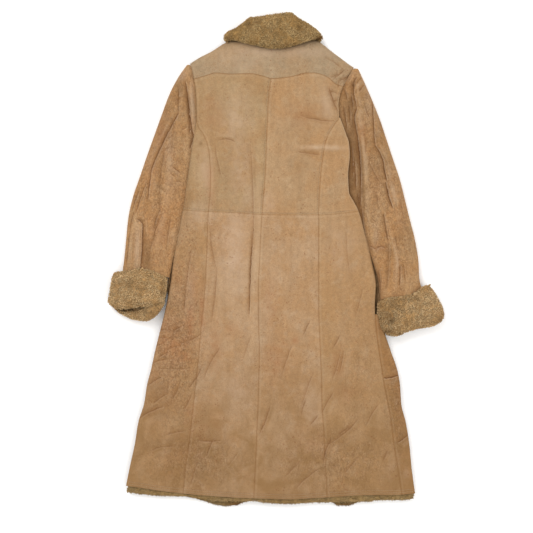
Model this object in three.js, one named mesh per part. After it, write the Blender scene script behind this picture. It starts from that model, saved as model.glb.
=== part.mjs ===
// A long shearling coat, seen from behind and laid flat on its front.
// Millimetres. X runs to the wearer's right, Y up to the collar, Z up from the floor.
// Each layer of the coat is one wall of skin and wool; the back lies on the fronts.
import * as THREE from 'three';

// Driving dimensions
const LAYER = 12;              // one pressed layer of skin and wool
const BACK_WALL = 13;          // the back's layer, with more loft
const REST = 0.3;              // gap between two layers that lie on each other
const SEAM = 0.2;              // each piece's share of the gap along a seam
const RIM = 2.5;               // least height of a rounded edge
const SIDE_ROUND = 20;         // how far in the back rounds off at its sides
const UNDER_ROUND = 10;        // the same for the layer on the floor
const HEM_ROUND = 6;
const HEM_WALL = 0.55;         // part of the back's wall that is left at its hem
const SEWN_WALL = 0.8;         // and at the armholes, where the sleeves are sewn on
const HEM_WOOL = 8;            // height of the wool that stands out below the hem
const SLEEVE_LAYER = 13;
const SLEEVE_RISE = 19;
const SLEEVE_ROUND = 32;
const INNER_PART = 0.7;        // the sleeve's inner edge is this much tighter
const CUFF_LOWER = 26;         // turned-back cuffs, lower and upper half
const CUFF_UPPER = 28;
const CUFF_ROUND = 30;
const CUFF_UNDER_ROUND = 18;
const CUFF_SHOULDER = 0.25;    // part of a cuff's height that is left at its ends
const COLLAR_STAND = 27;
const COLLAR_FALL = 31;
const COLLAR_ROUND = 26;
const COLLAR_EDGE = 0.35;      // part of the fall's height at its free edge
const COLLAR_SIDES = { left: -127, right: 113 };
const NECK_GAP = 1.6;          // between the neck line and the stand
const LAP_LAYER = 8;           // each front where they lap, pressed thinner
const LAP_RISE = 4.3;
const BACK_SLOPE = 34;         // width of the slope where the back climbs the lap
const LAP = { outerLeft: -95, left: -60, right: 20, outerRight: 50 };
const ARMHOLE_LEVEL = 330;     // below this the sleeves come free of the body
const ARMHOLE_FADE = 70;
const FRONT_INSET = 1.2;       // the hidden fronts stop this far inside the back's edge
const CUFF_GAP = 0.7;          // from a cuff's upper edge to its sleeve
const THINNEST = 6;
const SOLVE_TURNS = 30;        // rounds that settle a point between its four edges

// Sections of the body, from the shoulder points down to the hem: where each line
// crosses the level. The two curved seams leave the armholes, the side seam shows
// on the right below the cuff, and above their start they follow the edge.
const BODY_COLUMNS = ['level', 'left', 'leftSeam', 'centre', 'rightSeam', 'side', 'right'];
const BODY = [
  [472, -206, -206, -11, 192, 192, 192],
  [440, -199, -199, -12, 174, 174, 174],
  [415, -195, -195, -15, 161, 161, 161],
  [396, -193, -193, -17, 154, 154, 154],
  [372, -192, -192, -19, 150, 150, 150],
  [345, -192, -192, -20, 152, 153, 153],
  [322, -193, -188, -21, 138, 161, 161],
  [302, -196, -175, -22, 126, 168, 168],
  [281, -200, -166, -23, 118, 175, 175],
  [252, -204, -160, -24, 113, 177, 177],
  [204, -211, -157, -26, 107, 173, 173],
  [163, -217, -158, -29, 104, 175, 175],
  [139, -220, -160, -31, 103, 187, 187],
  [115, -224, -162, -33, 102, 199, 199],
  [72, -232, -164, -36, 102, 211, 211],
  [0, -246, -167, -39, 102, 229, 229],
  [-60, -255, -170, -42, 102, 239, 242],
  [-110, -264, -174, -42, 102, 237, 245],
  [-144, -272, -178, -42, 103, 238, 252],
  [-216, -290, -184, -40, 106, 246, 275],
  [-266, -301, -189, -41, 108, 254, 292],
  [-300, -310, -193, -42, 109, 259, 298],
  [-345, -317, -198, -43, 110, 268, 301],
  [-390, -331, -203, -45, 113, 276, 312],
  [-440, -339, -209, -47, 116, 282, 320],
  [-500, -352, -218, -50, 119, 292, 326],
  [-560, -364, -223, -53, 122, 301, 334],
];

// Lines that run across the body, as x and y.
const NECK_LINE = [[-206, 472], [-182, 487], [-158, 499], [-139, 511], [-127, 519], [-106, 526],
  [-85, 526], [-55, 520], [-25, 514], [5, 512], [35, 516], [62, 523], [82, 528], [96, 528],
  [114, 517], [130, 504], [154, 486], [178, 468], [192, 459]];
const YOKE_SEAM = [[-197, 433], [-170, 441], [-144, 448], [-106, 445], [-62, 446], [-31, 440],
  [-12, 434], [34, 438], [74, 448], [91, 448], [110, 444], [125, 437], [146, 420], [172, 413]];
const WAIST_SEAM = [[-224, 120], [-158, 116], [-96, 113], [-34, 109], [34, 108], [101, 108],
  [166, 113], [202, 118]];
const HEM_LINE = [[-366, -541], [-326, -547], [-278, -554], [-230, -560], [-134, -568],
  [-38, -572], [34, -574], [106, -571], [154, -568], [202, -565], [290, -564], [336, -560]];
const WOOL_LINE = [[-366, -552], [-326, -561], [-278, -566], [-218, -569], [-170, -577],
  [-146, -580], [-98, -580], [-50, -579], [-26, -583], [34, -586], [106, -583], [160, -582],
  [226, -581], [240, -578], [310, -577], [336, -573]];
const FRONT_HEM = [[-366, -548], [-326, -557], [-218, -566], [-170, -576], [-146, -587],
  [-122, -593], [-98, -588], [-74, -578], [34, -582], [106, -580], [134, -583], [149, -593],
  [166, -593], [190, -588], [210, -578], [336, -570]];

// Outer edges of the two sleeves, from the shoulder down to the cuff.
const SLEEVE_LEFT = [[470, -213], [440, -234], [400, -255], [350, -274], [300, -292],
  [250, -310], [200, -327], [150, -344], [100, -355], [50, -360], [0, -365], [-30, -369]];
const SLEEVE_RIGHT = [[460, 197], [434, 209], [391, 228], [336, 250], [288, 266], [240, 282],
  [192, 298], [144, 310], [96, 322], [48, 334], [0, 342], [-48, 345], [-72, 352]];

// The cuffs: their upper edge, their lower edge and their two ends.
const CUFF_LEFT = {
  top: [[-398, -34], [-380, -29], [-350, -26], [-324, -21], [-300, -26], [-275, -36], [-258, -43]],
  bottom: [[-404, -98], [-392, -115], [-370, -132], [-340, -145], [-312, -148], [-290, -136],
    [-272, -112], [-266, -97]],
  mouth: [[-404, -98], [-394, -109], [-372, -118], [-340, -114], [-305, -112], [-276, -108],
    [-266, -97]],
  outer: [[-97, -404], [-70, -399], [-50, -396], [-26, -387]],
  inner: [[-97, -266], [-70, -261], [-43, -259]],
};
const CUFF_RIGHT = {
  top: [[238, -104], [250, -98], [262, -92], [285, -89], [310, -86], [335, -77], [350, -66],
    [364, -58]],
  bottom: [[247, -143], [256, -166], [268, -180], [285, -182], [310, -173], [340, -164],
    [370, -159], [392, -149], [404, -134]],
  outer: [[-134, 404], [-120, 402], [-100, 393], [-76, 380], [-58, 364]],
  inner: [[-143, 250], [-120, 244], [-96, 247]],
};

// The collar: the free edge of its fall and its folded upper edge.
const FALL_EDGE = [[-127, 524], [-106, 526], [-74, 519], [-50, 514], [-31, 510], [-14, 506],
  [10, 506], [29, 509], [58, 518], [82, 526], [98, 530], [113, 525]];
const COLLAR_TOP = [[-127, 529], [-120, 543], [-110, 550], [-98, 555], [-77, 569], [-60, 582],
  [-48, 583], [-14, 588], [10, 591], [29, 593], [38, 592], [48, 583], [72, 569], [96, 552],
  [107, 541], [113, 530]];

// Large folds, each from one point to another, with the half width and the height of
// its ridge, or the depth of its trough where the height is below zero.
const FOLD_COLUMNS = ['x0', 'y0', 'x1', 'y1', 'width', 'height'];
const BODY_FOLDS = [
  [-57, 240, -54, -10, 13, 5],       // long crease left of the centre seam
  [-54, -10, -66, -150, 13, 4],
  [-76, 200, -74, -40, 14, -3],
  [98, 420, 140, 345, 16, 5],        // crumple below the right end of the yoke
  [74, 346, 134, 331, 13, -4],
  [58, 270, 162, 266, 13, 4],        // drag lines across the right of the back
  [53, 256, 110, 250, 13, -3],
  [-138, 292, -98, 288, 12, 3],
  [-148, -72, -156, -160, 15, -4],   // soft folds of the flared skirt
  [-206, -48, -218, -132, 15, 3],
  [-139, -218, -172, -280, 15, -4],
  [-186, -262, -208, -306, 15, 3],
  [-228, -192, -186, -180, 13, -3],
  [-318, -374, -288, -360, 12, -5],
  [-184, -437, -140, -432, 14, 3],
  [84, -144, 64, -182, 14, -3],
  [154, -180, 138, -212, 14, 4],
  [164, -216, 150, -276, 14, -4],
  [-16, -360, -38, -415, 15, -4],
  [128, -320, 112, -362, 14, 4],
  [190, -384, 152, -424, 15, -4],
  [130, -416, 116, -480, 15, 4],
  [104, -487, 46, -552, 16, 4],
  [272, -432, 258, -484, 14, -3],
  [-262, -400, -290, -520, 20, 4],
  [0, -250, 10, -560, 30, 3],
];
const LEFT_SLEEVE_FOLDS = [
  [-228, 432, -211, 384, 10, -6],    // below the sleeve head, along the armhole
  [-211, 384, -200, 317, 9, -6],
  [-298, 216, -305, 150, 12, -4],
  [-276, 192, -276, 120, 12, -4],
  [-322, 98, -326, -24, 12, -9],     // deep fold above the cuff
  [-304, 84, -300, -24, 14, 3],
];
const RIGHT_SLEEVE_FOLDS = [
  [212, 150, 230, 24, 11, -7],       // fold beside the body, down to the cuff
  [233, 360, 233, 281, 11, -4],
  [250, 264, 281, 120, 12, -5],
  [259, 132, 269, 0, 12, -6],
  [269, 0, 262, -80, 11, -6],
  [270, 108, 302, -70, 11, 4],
];

// The right sleeve sinks to a low shelf between the body and this line, x by level.
const SHELF_LINE = [[456, 193], [430, 188], [400, 184], [360, 187], [331, 189], [288, 197],
  [264, 202], [216, 207], [168, 210], [120, 212], [72, 224], [0, 246], [-98, 262]];
const SHELF_FADE = [[430, 1], [395, 0.6], [350, 0.38], [150, 0.38], [80, 0.8], [20, 1]];
const SHELF_STEP = 7;          // half the width of the step at that line

const SUEDE = { color: 0xb99671, roughness: 0.95, metalness: 0 };
const WOOL = { color: 0x9c7b4f, roughness: 1, metalness: 0 };

// A smooth line through [position, value] pairs that never overshoots them.
function lineThrough(points) {
  const sorted = [...points].sort((a, b) => a[0] - b[0]);
  const steps = sorted.slice(1).map((p, i) => (p[1] - sorted[i][1]) / (p[0] - sorted[i][0]));
  const slopes = sorted.map((p, i) => {
    if (i === 0) return steps[0];
    if (i === steps.length) return steps[i - 1];
    const [before, after] = [steps[i - 1], steps[i]];
    return before * after <= 0 ? 0 : (2 * before * after) / (before + after);
  });
  return (position) => {
    const at = THREE.MathUtils.clamp(position, sorted[0][0], sorted[sorted.length - 1][0]);
    let i = 0;
    while (i < steps.length - 1 && at > sorted[i + 1][0]) i += 1;
    const span = sorted[i + 1][0] - sorted[i][0];
    const t = (at - sorted[i][0]) / span;
    const [t2, t3] = [t * t, t * t * t];
    return (2 * t3 - 3 * t2 + 1) * sorted[i][1] + (t3 - 2 * t2 + t) * span * slopes[i]
      + (3 * t2 - 2 * t3) * sorted[i + 1][1] + (t3 - t2) * span * slopes[i + 1];
  };
}

function bodyLine(name) {
  const column = BODY_COLUMNS.indexOf(name);
  return lineThrough(BODY.map((row) => [row[0], row[column]]));
}

const constant = (value) => () => value;
const shifted = (line, distance) => (position) => line(position) + distance;

// 0 at a rounded edge and 1 from `radius` inwards, along a quarter circle.
function rounded(distance, radius) {
  const left = 1 - THREE.MathUtils.clamp(distance / radius, 0, 1);
  return Math.sqrt(1 - left * left);
}

// Height that the folds of one table add at a point.
function foldsAt(table, x, y) {
  return table.reduce((sum, row) => {
    const fold = Object.fromEntries(FOLD_COLUMNS.map((name, i) => [name, row[i]]));
    const [alongX, alongY] = [fold.x1 - fold.x0, fold.y1 - fold.y0];
    const length = Math.hypot(alongX, alongY);
    const t = ((x - fold.x0) * alongX + (y - fold.y0) * alongY) / (length * length);
    const nearest = THREE.MathUtils.clamp(t, 0, 1);
    const away = Math.hypot(x - fold.x0 - nearest * alongX, y - fold.y0 - nearest * alongY);
    return sum + fold.height * Math.exp(-((away / fold.width) ** 2));
  }, 0);
}

// One piece as a closed wall: a grid between side rails (x as functions of y) and two
// cross lines (y as functions of x), with an upper and a lower surface. `rowEnd` stops
// a piece that runs out to a point before the upper cross line.
function piece({ rails, splits, rows, rowEnd = rows, bottom, top, over, under }) {
  const columns = [];
  rails.slice(1).forEach((_, rail) => {
    for (let i = 0; i < splits[rail]; i += 1) columns.push([rail, i / splits[rail]]);
  });
  columns.push([rails.length - 2, 1]);
  const upper = [];
  const lower = [];
  for (let j = 0; j <= rowEnd; j += 1) {
    const v = j / rows;
    columns.forEach(([rail, part]) => {
      let x = 0;
      let y = THREE.MathUtils.lerp(bottom(0), top(0), v);
      for (let turn = 0; turn < SOLVE_TURNS; turn += 1) {
        x = THREE.MathUtils.lerp(rails[rail](y), rails[rail + 1](y), part);
        y = THREE.MathUtils.lerp(bottom(x), top(x), v);
      }
      upper.push([x, y, over(x, y)]);
      lower.push([x, y, under(x, y)]);
    });
  }
  const width = columns.length;
  const count = upper.length;
  const at = (i, j) => j * width + i;
  const faces = [];
  const quad = (a, b, c, d) => faces.push(a, b, c, a, c, d);
  for (let j = 0; j < rowEnd; j += 1) {
    for (let i = 0; i < width - 1; i += 1) {
      const [a, b, c, d] = [at(i, j), at(i + 1, j), at(i + 1, j + 1), at(i, j + 1)];
      quad(a, b, c, d);
      quad(count + a, count + d, count + c, count + b);
    }
    quad(count + at(width - 1, j), count + at(width - 1, j + 1), at(width - 1, j + 1), at(width - 1, j));
    quad(count + at(0, j + 1), count + at(0, j), at(0, j), at(0, j + 1));
  }
  for (let i = 0; i < width - 1; i += 1) {
    quad(count + at(i, 0), count + at(i + 1, 0), at(i + 1, 0), at(i, 0));
    quad(count + at(i + 1, rowEnd), count + at(i, rowEnd), at(i, rowEnd), at(i + 1, rowEnd));
  }
  const geometry = new THREE.BufferGeometry();
  geometry.setAttribute('position', new THREE.Float32BufferAttribute([...upper, ...lower].flat(), 3));
  geometry.setIndex(faces);
  geometry.computeVertexNormals();
  return geometry;
}

const coat = new THREE.Group();

function add(name, finish, form) {
  const mesh = new THREE.Mesh(piece(form), new THREE.MeshStandardMaterial(finish));
  mesh.name = name;
  coat.add(mesh);
}

const left = bodyLine('left');
const leftSeam = bodyLine('leftSeam');
const centre = bodyLine('centre');
const rightSeam = bodyLine('rightSeam');
const side = bodyLine('side');
const right = bodyLine('right');
const neckLine = lineThrough(NECK_LINE);
const yokeSeam = lineThrough(YOKE_SEAM);
const waistSeam = lineThrough(WAIST_SEAM);
const hemLine = lineThrough(HEM_LINE);
const woolLine = lineThrough(WOOL_LINE);
const frontHem = lineThrough(FRONT_HEM);

// 0 where the sleeve is sewn to the body and 1 where it lies free beside it.
function freeOfSleeve(y) {
  return 1 - THREE.MathUtils.smoothstep(y, ARMHOLE_LEVEL - ARMHOLE_FADE, ARMHOLE_LEVEL);
}

// The lapped fronts lift the back a little along the middle, clear of the lap.
function lapUnderBack(x) {
  const rise = THREE.MathUtils.clamp((x - LAP.outerLeft + BACK_SLOPE) / BACK_SLOPE, 0, 1);
  const drop = THREE.MathUtils.clamp((LAP.outerRight + BACK_SLOPE / 2 - x) / BACK_SLOPE, 0, 1);
  return (LAP_RISE + 2 * REST) * Math.min(rise, drop);
}

// The back layer: its lower and upper surface.
function backUnder(x, y) {
  return LAYER + REST + lapUnderBack(x) + 0.6 * Math.max(0, foldsAt(BODY_FOLDS, x, y));
}

function backOver(x, y) {
  const sides = rounded(Math.min(x - left(y), right(y) - x), SIDE_ROUND);
  const sewn = THREE.MathUtils.lerp(SEWN_WALL, 1, sides);
  const edge = THREE.MathUtils.lerp(sewn, sides, freeOfSleeve(y));
  const hem = THREE.MathUtils.lerp(HEM_WALL, 1, rounded(y - hemLine(x), HEM_ROUND));
  const shoulder = rounded(neckLine(x) - y, SIDE_ROUND);
  const wall = RIM + (BACK_WALL - RIM) * edge * hem * shoulder;
  const lift = lapUnderBack(x) + foldsAt(BODY_FOLDS, x, y) * edge;
  return Math.max(LAYER + REST + lift + wall, backUnder(x, y) + Math.min(wall, THINNEST));
}

// Pieces of the back, edge to edge. Pieces that share a seam share its points.
const YOKE_ROWS = 4;
const UPPER_ROWS = 15;
const SKIRT_ROWS = 22;
const LEFT_SEAM_END = 10;      // rows up to where the curved seams leave the armholes
const RIGHT_SEAM_END = 11;
const SIDE_SEAM_END = 14;
const SPLITS = { sideLeft: 4, left: 6, right: 6, sideRight: 5, strip: 2 };

function backPiece(name, band, rails, splits, rowEnd) {
  const bands = {
    yoke: { rows: YOKE_ROWS, bottom: yokeSeam, top: neckLine },
    upper: { rows: UPPER_ROWS, bottom: waistSeam, top: yokeSeam },
    skirt: { rows: SKIRT_ROWS, bottom: hemLine, top: waistSeam },
  };
  const { rows, bottom, top } = bands[band];
  const inset = rails.map((rail, i) => {
    if (i === 0) return shifted(rail, SEAM);
    return i === rails.length - 1 ? shifted(rail, -SEAM) : rail;
  });
  add(name, SUEDE, {
    rails: inset, splits, rows, rowEnd,
    bottom: shifted(bottom, SEAM), top: shifted(top, -SEAM), over: backOver, under: backUnder,
  });
}

backPiece('back_yoke', 'yoke', [left, centre, right], [SPLITS.left, SPLITS.right]);
backPiece('back_upper_left', 'upper', [leftSeam, centre], [SPLITS.left]);
backPiece('back_upper_right', 'upper', [centre, rightSeam], [SPLITS.right]);
backPiece('side_back_upper_left', 'upper', [left, leftSeam], [SPLITS.sideLeft], LEFT_SEAM_END);
backPiece('side_back_upper_right', 'upper', [rightSeam, right], [SPLITS.sideRight], RIGHT_SEAM_END);
backPiece('skirt_back_left', 'skirt', [leftSeam, centre], [SPLITS.left]);
backPiece('skirt_back_right', 'skirt', [centre, rightSeam], [SPLITS.right]);
backPiece('skirt_side_left', 'skirt', [left, leftSeam], [SPLITS.sideLeft]);
backPiece('skirt_side_right', 'skirt', [rightSeam, side], [SPLITS.sideRight]);
backPiece('skirt_front_turned', 'skirt', [side, right], [SPLITS.strip], SIDE_SEAM_END);

// Wool that stands out below the hem of the back.
add('hem_wool', WOOL, {
  rails: [shifted(left, SEAM), shifted(right, -SEAM)], splits: [26], rows: 2,
  bottom: woolLine, top: shifted(hemLine, -SEAM),
  over: (x, y) => LAYER + REST + lapUnderBack(x)
    + THREE.MathUtils.lerp(RIM, HEM_WOOL, rounded(y - woolLine(x), HEM_ROUND)),
  under: (x) => LAYER + REST + lapUnderBack(x),
});

// The fronts on the floor. The wearer's right front laps under the left one here,
// because the coat lies on its front.
function frontFloor(x, y) {
  const inside = rounded(Math.min(x - left(y), right(y) - x), UNDER_ROUND);
  return (LAYER - RIM) * (1 - inside) * freeOfSleeve(y);
}

function leftFrontUnder(x, y) {
  const climb = THREE.MathUtils.clamp((x - LAP.outerLeft) / (LAP.left - LAP.outerLeft), 0, 1);
  return Math.max(frontFloor(x, y), climb * (LAP_LAYER + REST));
}

function leftFrontOver(x) {
  const climb = THREE.MathUtils.clamp((x - LAP.outerLeft) / (LAP.left - LAP.outerLeft), 0, 1);
  return LAYER + climb * LAP_RISE;
}

function rightFrontOver(x) {
  const climb = THREE.MathUtils.clamp((x - LAP.right) / (LAP.outerRight - LAP.right), 0, 1);
  return LAP_LAYER + climb * (LAYER - LAP_LAYER);
}

const frontBands = {
  upper: { rows: 15, bottom: waistSeam, top: neckLine },
  skirt: { rows: 12, bottom: frontHem, top: waistSeam },
};
for (const [band, { rows, bottom, top }] of Object.entries(frontBands)) {
  const cross = { rows, bottom: shifted(bottom, SEAM), top: shifted(top, -SEAM) };
  add(`front_${band}_left`, SUEDE, {
    ...cross,
    rails: [shifted(left, FRONT_INSET), constant(LAP.outerLeft), constant(LAP.left), constant(LAP.right)],
    splits: [4, 1, 2], over: leftFrontOver, under: leftFrontUnder,
  });
  add(`front_${band}_right`, SUEDE, {
    ...cross,
    rails: [constant(LAP.left + 2 * SEAM), constant(LAP.right), constant(LAP.outerRight),
      shifted(right, -FRONT_INSET)],
    splits: [2, 1, 5], over: rightFrontOver, under: frontFloor,
  });
}

// Sleeves: a top sleeve on an under sleeve, beside the body, each ending at its cuff.
const SLEEVES = {
  left: {
    sign: -1, outer: lineThrough(SLEEVE_LEFT), body: left, cuff: CUFF_LEFT,
    folds: LEFT_SLEEVE_FOLDS, shoulder: 468, gap: [[-60, 4], [-20, 2.5], [30, 0.9]],
  },
  right: {
    sign: 1, outer: lineThrough(SLEEVE_RIGHT), body: right, cuff: CUFF_RIGHT,
    folds: RIGHT_SLEEVE_FOLDS, shoulder: 456, gap: [[-100, 7], [-30, 5], [30, 0.9]],
    shelf: lineThrough(SHELF_LINE), fade: lineThrough(SHELF_FADE),
  },
};

function sleeve(name, { sign, outer, body, cuff, folds, shoulder, gap, shelf, fade }) {
  const gapAt = lineThrough(gap);
  const inner = (y) => body(y) + sign * gapAt(y);
  const cuffEdge = lineThrough(cuff.top);
  const fullness = (x, y, radius) => {
    const beside = rounded(sign * (x - inner(y)), radius * INNER_PART);
    const sewn = THREE.MathUtils.lerp(SEWN_WALL, 1, beside);
    const along = THREE.MathUtils.lerp(sewn, beside, freeOfSleeve(y));
    return along * rounded(sign * (outer(y) - x), radius);
  };
  const sunk = (x, y) => {
    if (!shelf) return 1;
    const past = THREE.MathUtils.smoothstep(x, shelf(y) - SHELF_STEP, shelf(y) + SHELF_STEP);
    return THREE.MathUtils.lerp(fade(y), 1, past);
  };
  const form = {
    rails: sign < 0 ? [outer, inner] : [inner, outer],
    bottom: shifted(cuffEdge, CUFF_GAP), top: constant(shoulder),
  };
  add(`top_sleeve_${name}`, SUEDE, {
    ...form, splits: [9], rows: 26,
    under: constant(SLEEVE_LAYER + REST),
    over: (x, y) => {
      const full = fullness(x, y, SLEEVE_ROUND) * sunk(x, y);
      const height = RIM + (SLEEVE_RISE - RIM) * full + foldsAt(folds, x, y) * full;
      return SLEEVE_LAYER + REST + Math.max(RIM, height);
    },
  });
  add(`under_sleeve_${name}`, SUEDE, {
    ...form, splits: [4], rows: 18,
    over: constant(SLEEVE_LAYER),
    under: (x, y) => (SLEEVE_LAYER - RIM) * (1 - fullness(x, y, UNDER_ROUND)),
  });
}

// Turned-back cuffs with the wool outside, each an upper half on a lower half. The
// lower half of the left cuff reaches past the upper one, so its mouth shows.
function cuff(name, { outer, inner, top, bottom, mouth = bottom }, sign) {
  const lines = [lineThrough(outer), lineThrough(inner)];
  const rails = sign < 0 ? lines : lines.reverse();
  const upperLine = shifted(lineThrough(top), -SEAM);
  const roundedAt = (x, y, lowerLine, radius) => {
    const ends = rounded(Math.min(x - rails[0](y), rails[1](y) - x), radius);
    const edges = rounded(Math.min(y - lowerLine(x), upperLine(x) - y), radius);
    return ends * THREE.MathUtils.lerp(CUFF_SHOULDER, 1, edges);
  };
  const lipLine = lineThrough(mouth);
  const lowLine = lineThrough(bottom);
  add(`cuff_upper_${name}`, WOOL, {
    rails, splits: [9], rows: 8, bottom: lipLine, top: upperLine,
    over: (x, y) => CUFF_LOWER + REST + RIM
      + (CUFF_UPPER - RIM) * roundedAt(x, y, lipLine, CUFF_ROUND),
    under: constant(CUFF_LOWER + REST),
  });
  add(`cuff_lower_${name}`, WOOL, {
    rails, splits: [9], rows: 8, bottom: lowLine, top: upperLine,
    over: constant(CUFF_LOWER),
    under: (x, y) => (CUFF_LOWER - RIM) * (1 - roundedAt(x, y, lowLine, CUFF_UNDER_ROUND)),
  });
}

for (const [name, shape] of Object.entries(SLEEVES)) {
  sleeve(name, shape);
  cuff(name, shape.cuff, shape.sign);
}

// Collar: the stand rises from the neck line, and the fall is folded back over it and
// over the top of the yoke, with the wool outside.
const fallEdge = lineThrough(FALL_EDGE);
const collarTop = lineThrough(COLLAR_TOP);

function collarRound(x, y, radius) {
  const ends = rounded(Math.min(x - COLLAR_SIDES.left, COLLAR_SIDES.right - x), radius);
  return rounded(collarTop(x) - y, radius) * THREE.MathUtils.lerp(COLLAR_EDGE, 1, ends);
}

add('collar_fall', WOOL, {
  rails: [constant(COLLAR_SIDES.left), constant(COLLAR_SIDES.right)], splits: [28], rows: 8,
  bottom: fallEdge, top: collarTop,
  under: constant(COLLAR_STAND + REST),
  over: (x, y) => {
    const edge = THREE.MathUtils.lerp(COLLAR_EDGE, 1, rounded(y - fallEdge(x), COLLAR_ROUND));
    return COLLAR_STAND + REST + RIM
      + (COLLAR_FALL - RIM) * edge * collarRound(x, y, COLLAR_ROUND);
  },
});
add('collar_stand', WOOL, {
  rails: [constant(COLLAR_SIDES.left + 3), constant(COLLAR_SIDES.right - 3)], splits: [18], rows: 3,
  bottom: shifted(neckLine, NECK_GAP), top: shifted(collarTop, -1),
  over: constant(COLLAR_STAND),
  under: (x, y) => (COLLAR_STAND - RIM) * (1 - collarRound(x, y, COLLAR_ROUND)),
});

export default coat;
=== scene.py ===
import math

import bpy
import numpy as np
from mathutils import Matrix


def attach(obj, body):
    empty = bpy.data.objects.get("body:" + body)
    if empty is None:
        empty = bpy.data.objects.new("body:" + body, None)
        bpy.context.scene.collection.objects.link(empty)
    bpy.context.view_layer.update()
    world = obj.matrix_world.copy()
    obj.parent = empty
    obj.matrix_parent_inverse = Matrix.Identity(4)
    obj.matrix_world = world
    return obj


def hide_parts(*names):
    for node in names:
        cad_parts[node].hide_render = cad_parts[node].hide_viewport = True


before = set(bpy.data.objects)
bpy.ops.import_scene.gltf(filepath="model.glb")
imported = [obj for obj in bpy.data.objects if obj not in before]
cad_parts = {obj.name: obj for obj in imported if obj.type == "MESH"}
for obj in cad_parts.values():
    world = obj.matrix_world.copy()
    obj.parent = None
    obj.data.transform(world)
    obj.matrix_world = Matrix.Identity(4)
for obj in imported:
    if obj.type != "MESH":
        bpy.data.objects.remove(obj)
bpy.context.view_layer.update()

# Camera, light and floor
# The coat lies on a pale floor and is seen from straight above through a long lens, with
# its collar at the top of the picture. Broad soft lights stand above its head and sides.
MM = 0.001
PICTURE_WIDTH = 1.2792
PICTURE_CENTRE = (-0.0228, -0.0156)
CLOTH_LEVEL = 0.02
CAMERA_HEIGHT = 4.0
SENSOR = 36.0

camera_data = bpy.data.cameras.new("camera")
camera_data.sensor_width = SENSOR
camera_data.lens = SENSOR * (CAMERA_HEIGHT - CLOTH_LEVEL) / PICTURE_WIDTH
camera_data.clip_end = 50.0
camera = bpy.data.objects.new("camera", camera_data)
camera.location = (*PICTURE_CENTRE, CAMERA_HEIGHT)
bpy.context.scene.collection.objects.link(camera)
bpy.context.scene.camera = camera
bpy.context.scene.view_settings.view_transform = "Standard"
bpy.context.scene.view_settings.look = "None"

bpy.ops.object.select_all(action="DESELECT")
bpy.ops.mesh.primitive_plane_add(size=9.0, location=(0, 0, 0))
floor = bpy.context.object
floor.name = "floor"
floor_paint = bpy.data.materials.new("floor_paint")
floor_paint.use_nodes = True
floor_shader = floor_paint.node_tree.nodes["Principled BSDF"]
floor_shader.inputs["Base Color"].default_value = (0.97, 0.97, 0.97, 1)
floor_shader.inputs["Roughness"].default_value = 1.0
floor_shader.inputs["Specular IOR Level"].default_value = 0.0
floor.data.materials.append(floor_paint)

SOFT_LIGHTS = (
    # name, place, aim, size, watts
    ("key_light", (-1.25, 1.7, 2.9), (0, 0, 0), 2.0, 47.0),
    ("fill_light", (1.7, -0.9, 2.9), (0, 0, 0), 2.4, 29.0),
)
for name, place, aim, size, watts in SOFT_LIGHTS:
    light_data = bpy.data.lights.new(name, "AREA")
    light_data.shape = "SQUARE"
    light_data.size = size
    light_data.energy = watts
    light = bpy.data.objects.new(name, light_data)
    light.location = place
    direction = np.array(aim, float) - np.array(place, float)
    light.rotation_euler = (
        math.acos(-direction[2] / np.linalg.norm(direction)), 0.0,
        math.atan2(direction[1], direction[0]) - math.pi / 2)
    bpy.context.scene.collection.objects.link(light)

world = bpy.data.worlds.new("studio")
world.use_nodes = True
world.node_tree.nodes["Background"].inputs["Color"].default_value = (1.0, 0.99, 0.975, 1)
world.node_tree.nodes["Background"].inputs["Strength"].default_value = 1.0
bpy.context.scene.world = world


# Back yoke
# One piece of sheepskin, suede side out, across the shoulders. It is sewn to both upper
# backs along a seam that dips in the middle, and its upper edge runs under the collar.
# Lengths in the tables of this coat are millimetres, X and Y in the plane of the floor.
LAYER = 12.0
BACK_WALL = 13.0
REST = 0.3
SEAM = 0.07
RIM = 2.5
SHOULDER_ROUND = 20.0
SIDE_ROUND = 4.0               # the body's free edges are folded fairly sharp
HEM_ROUND = 6.0
HEM_WALL = 0.55
SEWN_WALL = 0.8
LAP_RISE = 4.3
BACK_SLOPE = 34.0
LAP = {"outer_left": -95.0, "left": -60.0, "right": 20.0, "outer_right": 50.0}
ARMHOLE_LEVEL = 330.0
ARMHOLE_FADE = 70.0
LEAVES_SLEEVE = (-55.0, 15.0)   # below this the body and the sleeves lie apart
SUEDE_WALL = 3.0
GRID_STEP = 3.0

BODY_COLUMNS = ("level", "left", "left_seam", "centre", "right_seam", "side", "right")
BODY = (
    (472, -206, -206, -11, 192, 192, 192),
    (440, -199, -199, -12, 174, 174, 174),
    (415, -195, -195, -15, 161, 161, 161),
    (396, -193, -193, -17, 154, 154, 154),
    (372, -192, -192, -19, 150, 150, 150),
    (345, -192, -192, -20, 152, 153, 153),
    (322, -193, -188, -21, 138, 161, 161),
    (302, -196, -175, -22, 126, 168, 168),
    (281, -200, -166, -23, 118, 175, 175),
    (252, -204, -160, -24, 113, 177, 177),
    (204, -211, -157, -26, 107, 173, 173),
    (163, -217, -158, -29, 104, 175, 175),
    (139, -220, -160, -31, 103, 187, 187),
    (115, -224, -162, -33, 102, 199, 199),
    (72, -232, -164, -36, 102, 211, 211),
    (0, -246, -167, -39, 102, 229, 229),
    (-60, -255, -170, -42, 102, 239, 242),
    (-110, -264, -174, -42, 102, 237, 245),
    (-144, -272, -178, -42, 103, 238, 252),
    (-216, -290, -184, -40, 106, 246, 275),
    (-266, -301, -189, -41, 108, 254, 292),
    (-300, -310, -193, -42, 109, 259, 298),
    (-345, -317, -198, -43, 110, 268, 301),
    (-390, -331, -203, -45, 113, 276, 312),
    (-440, -339, -209, -47, 116, 282, 320),
    (-500, -352, -218, -50, 119, 292, 326),
    (-560, -364, -223, -53, 122, 301, 334),
)
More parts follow.
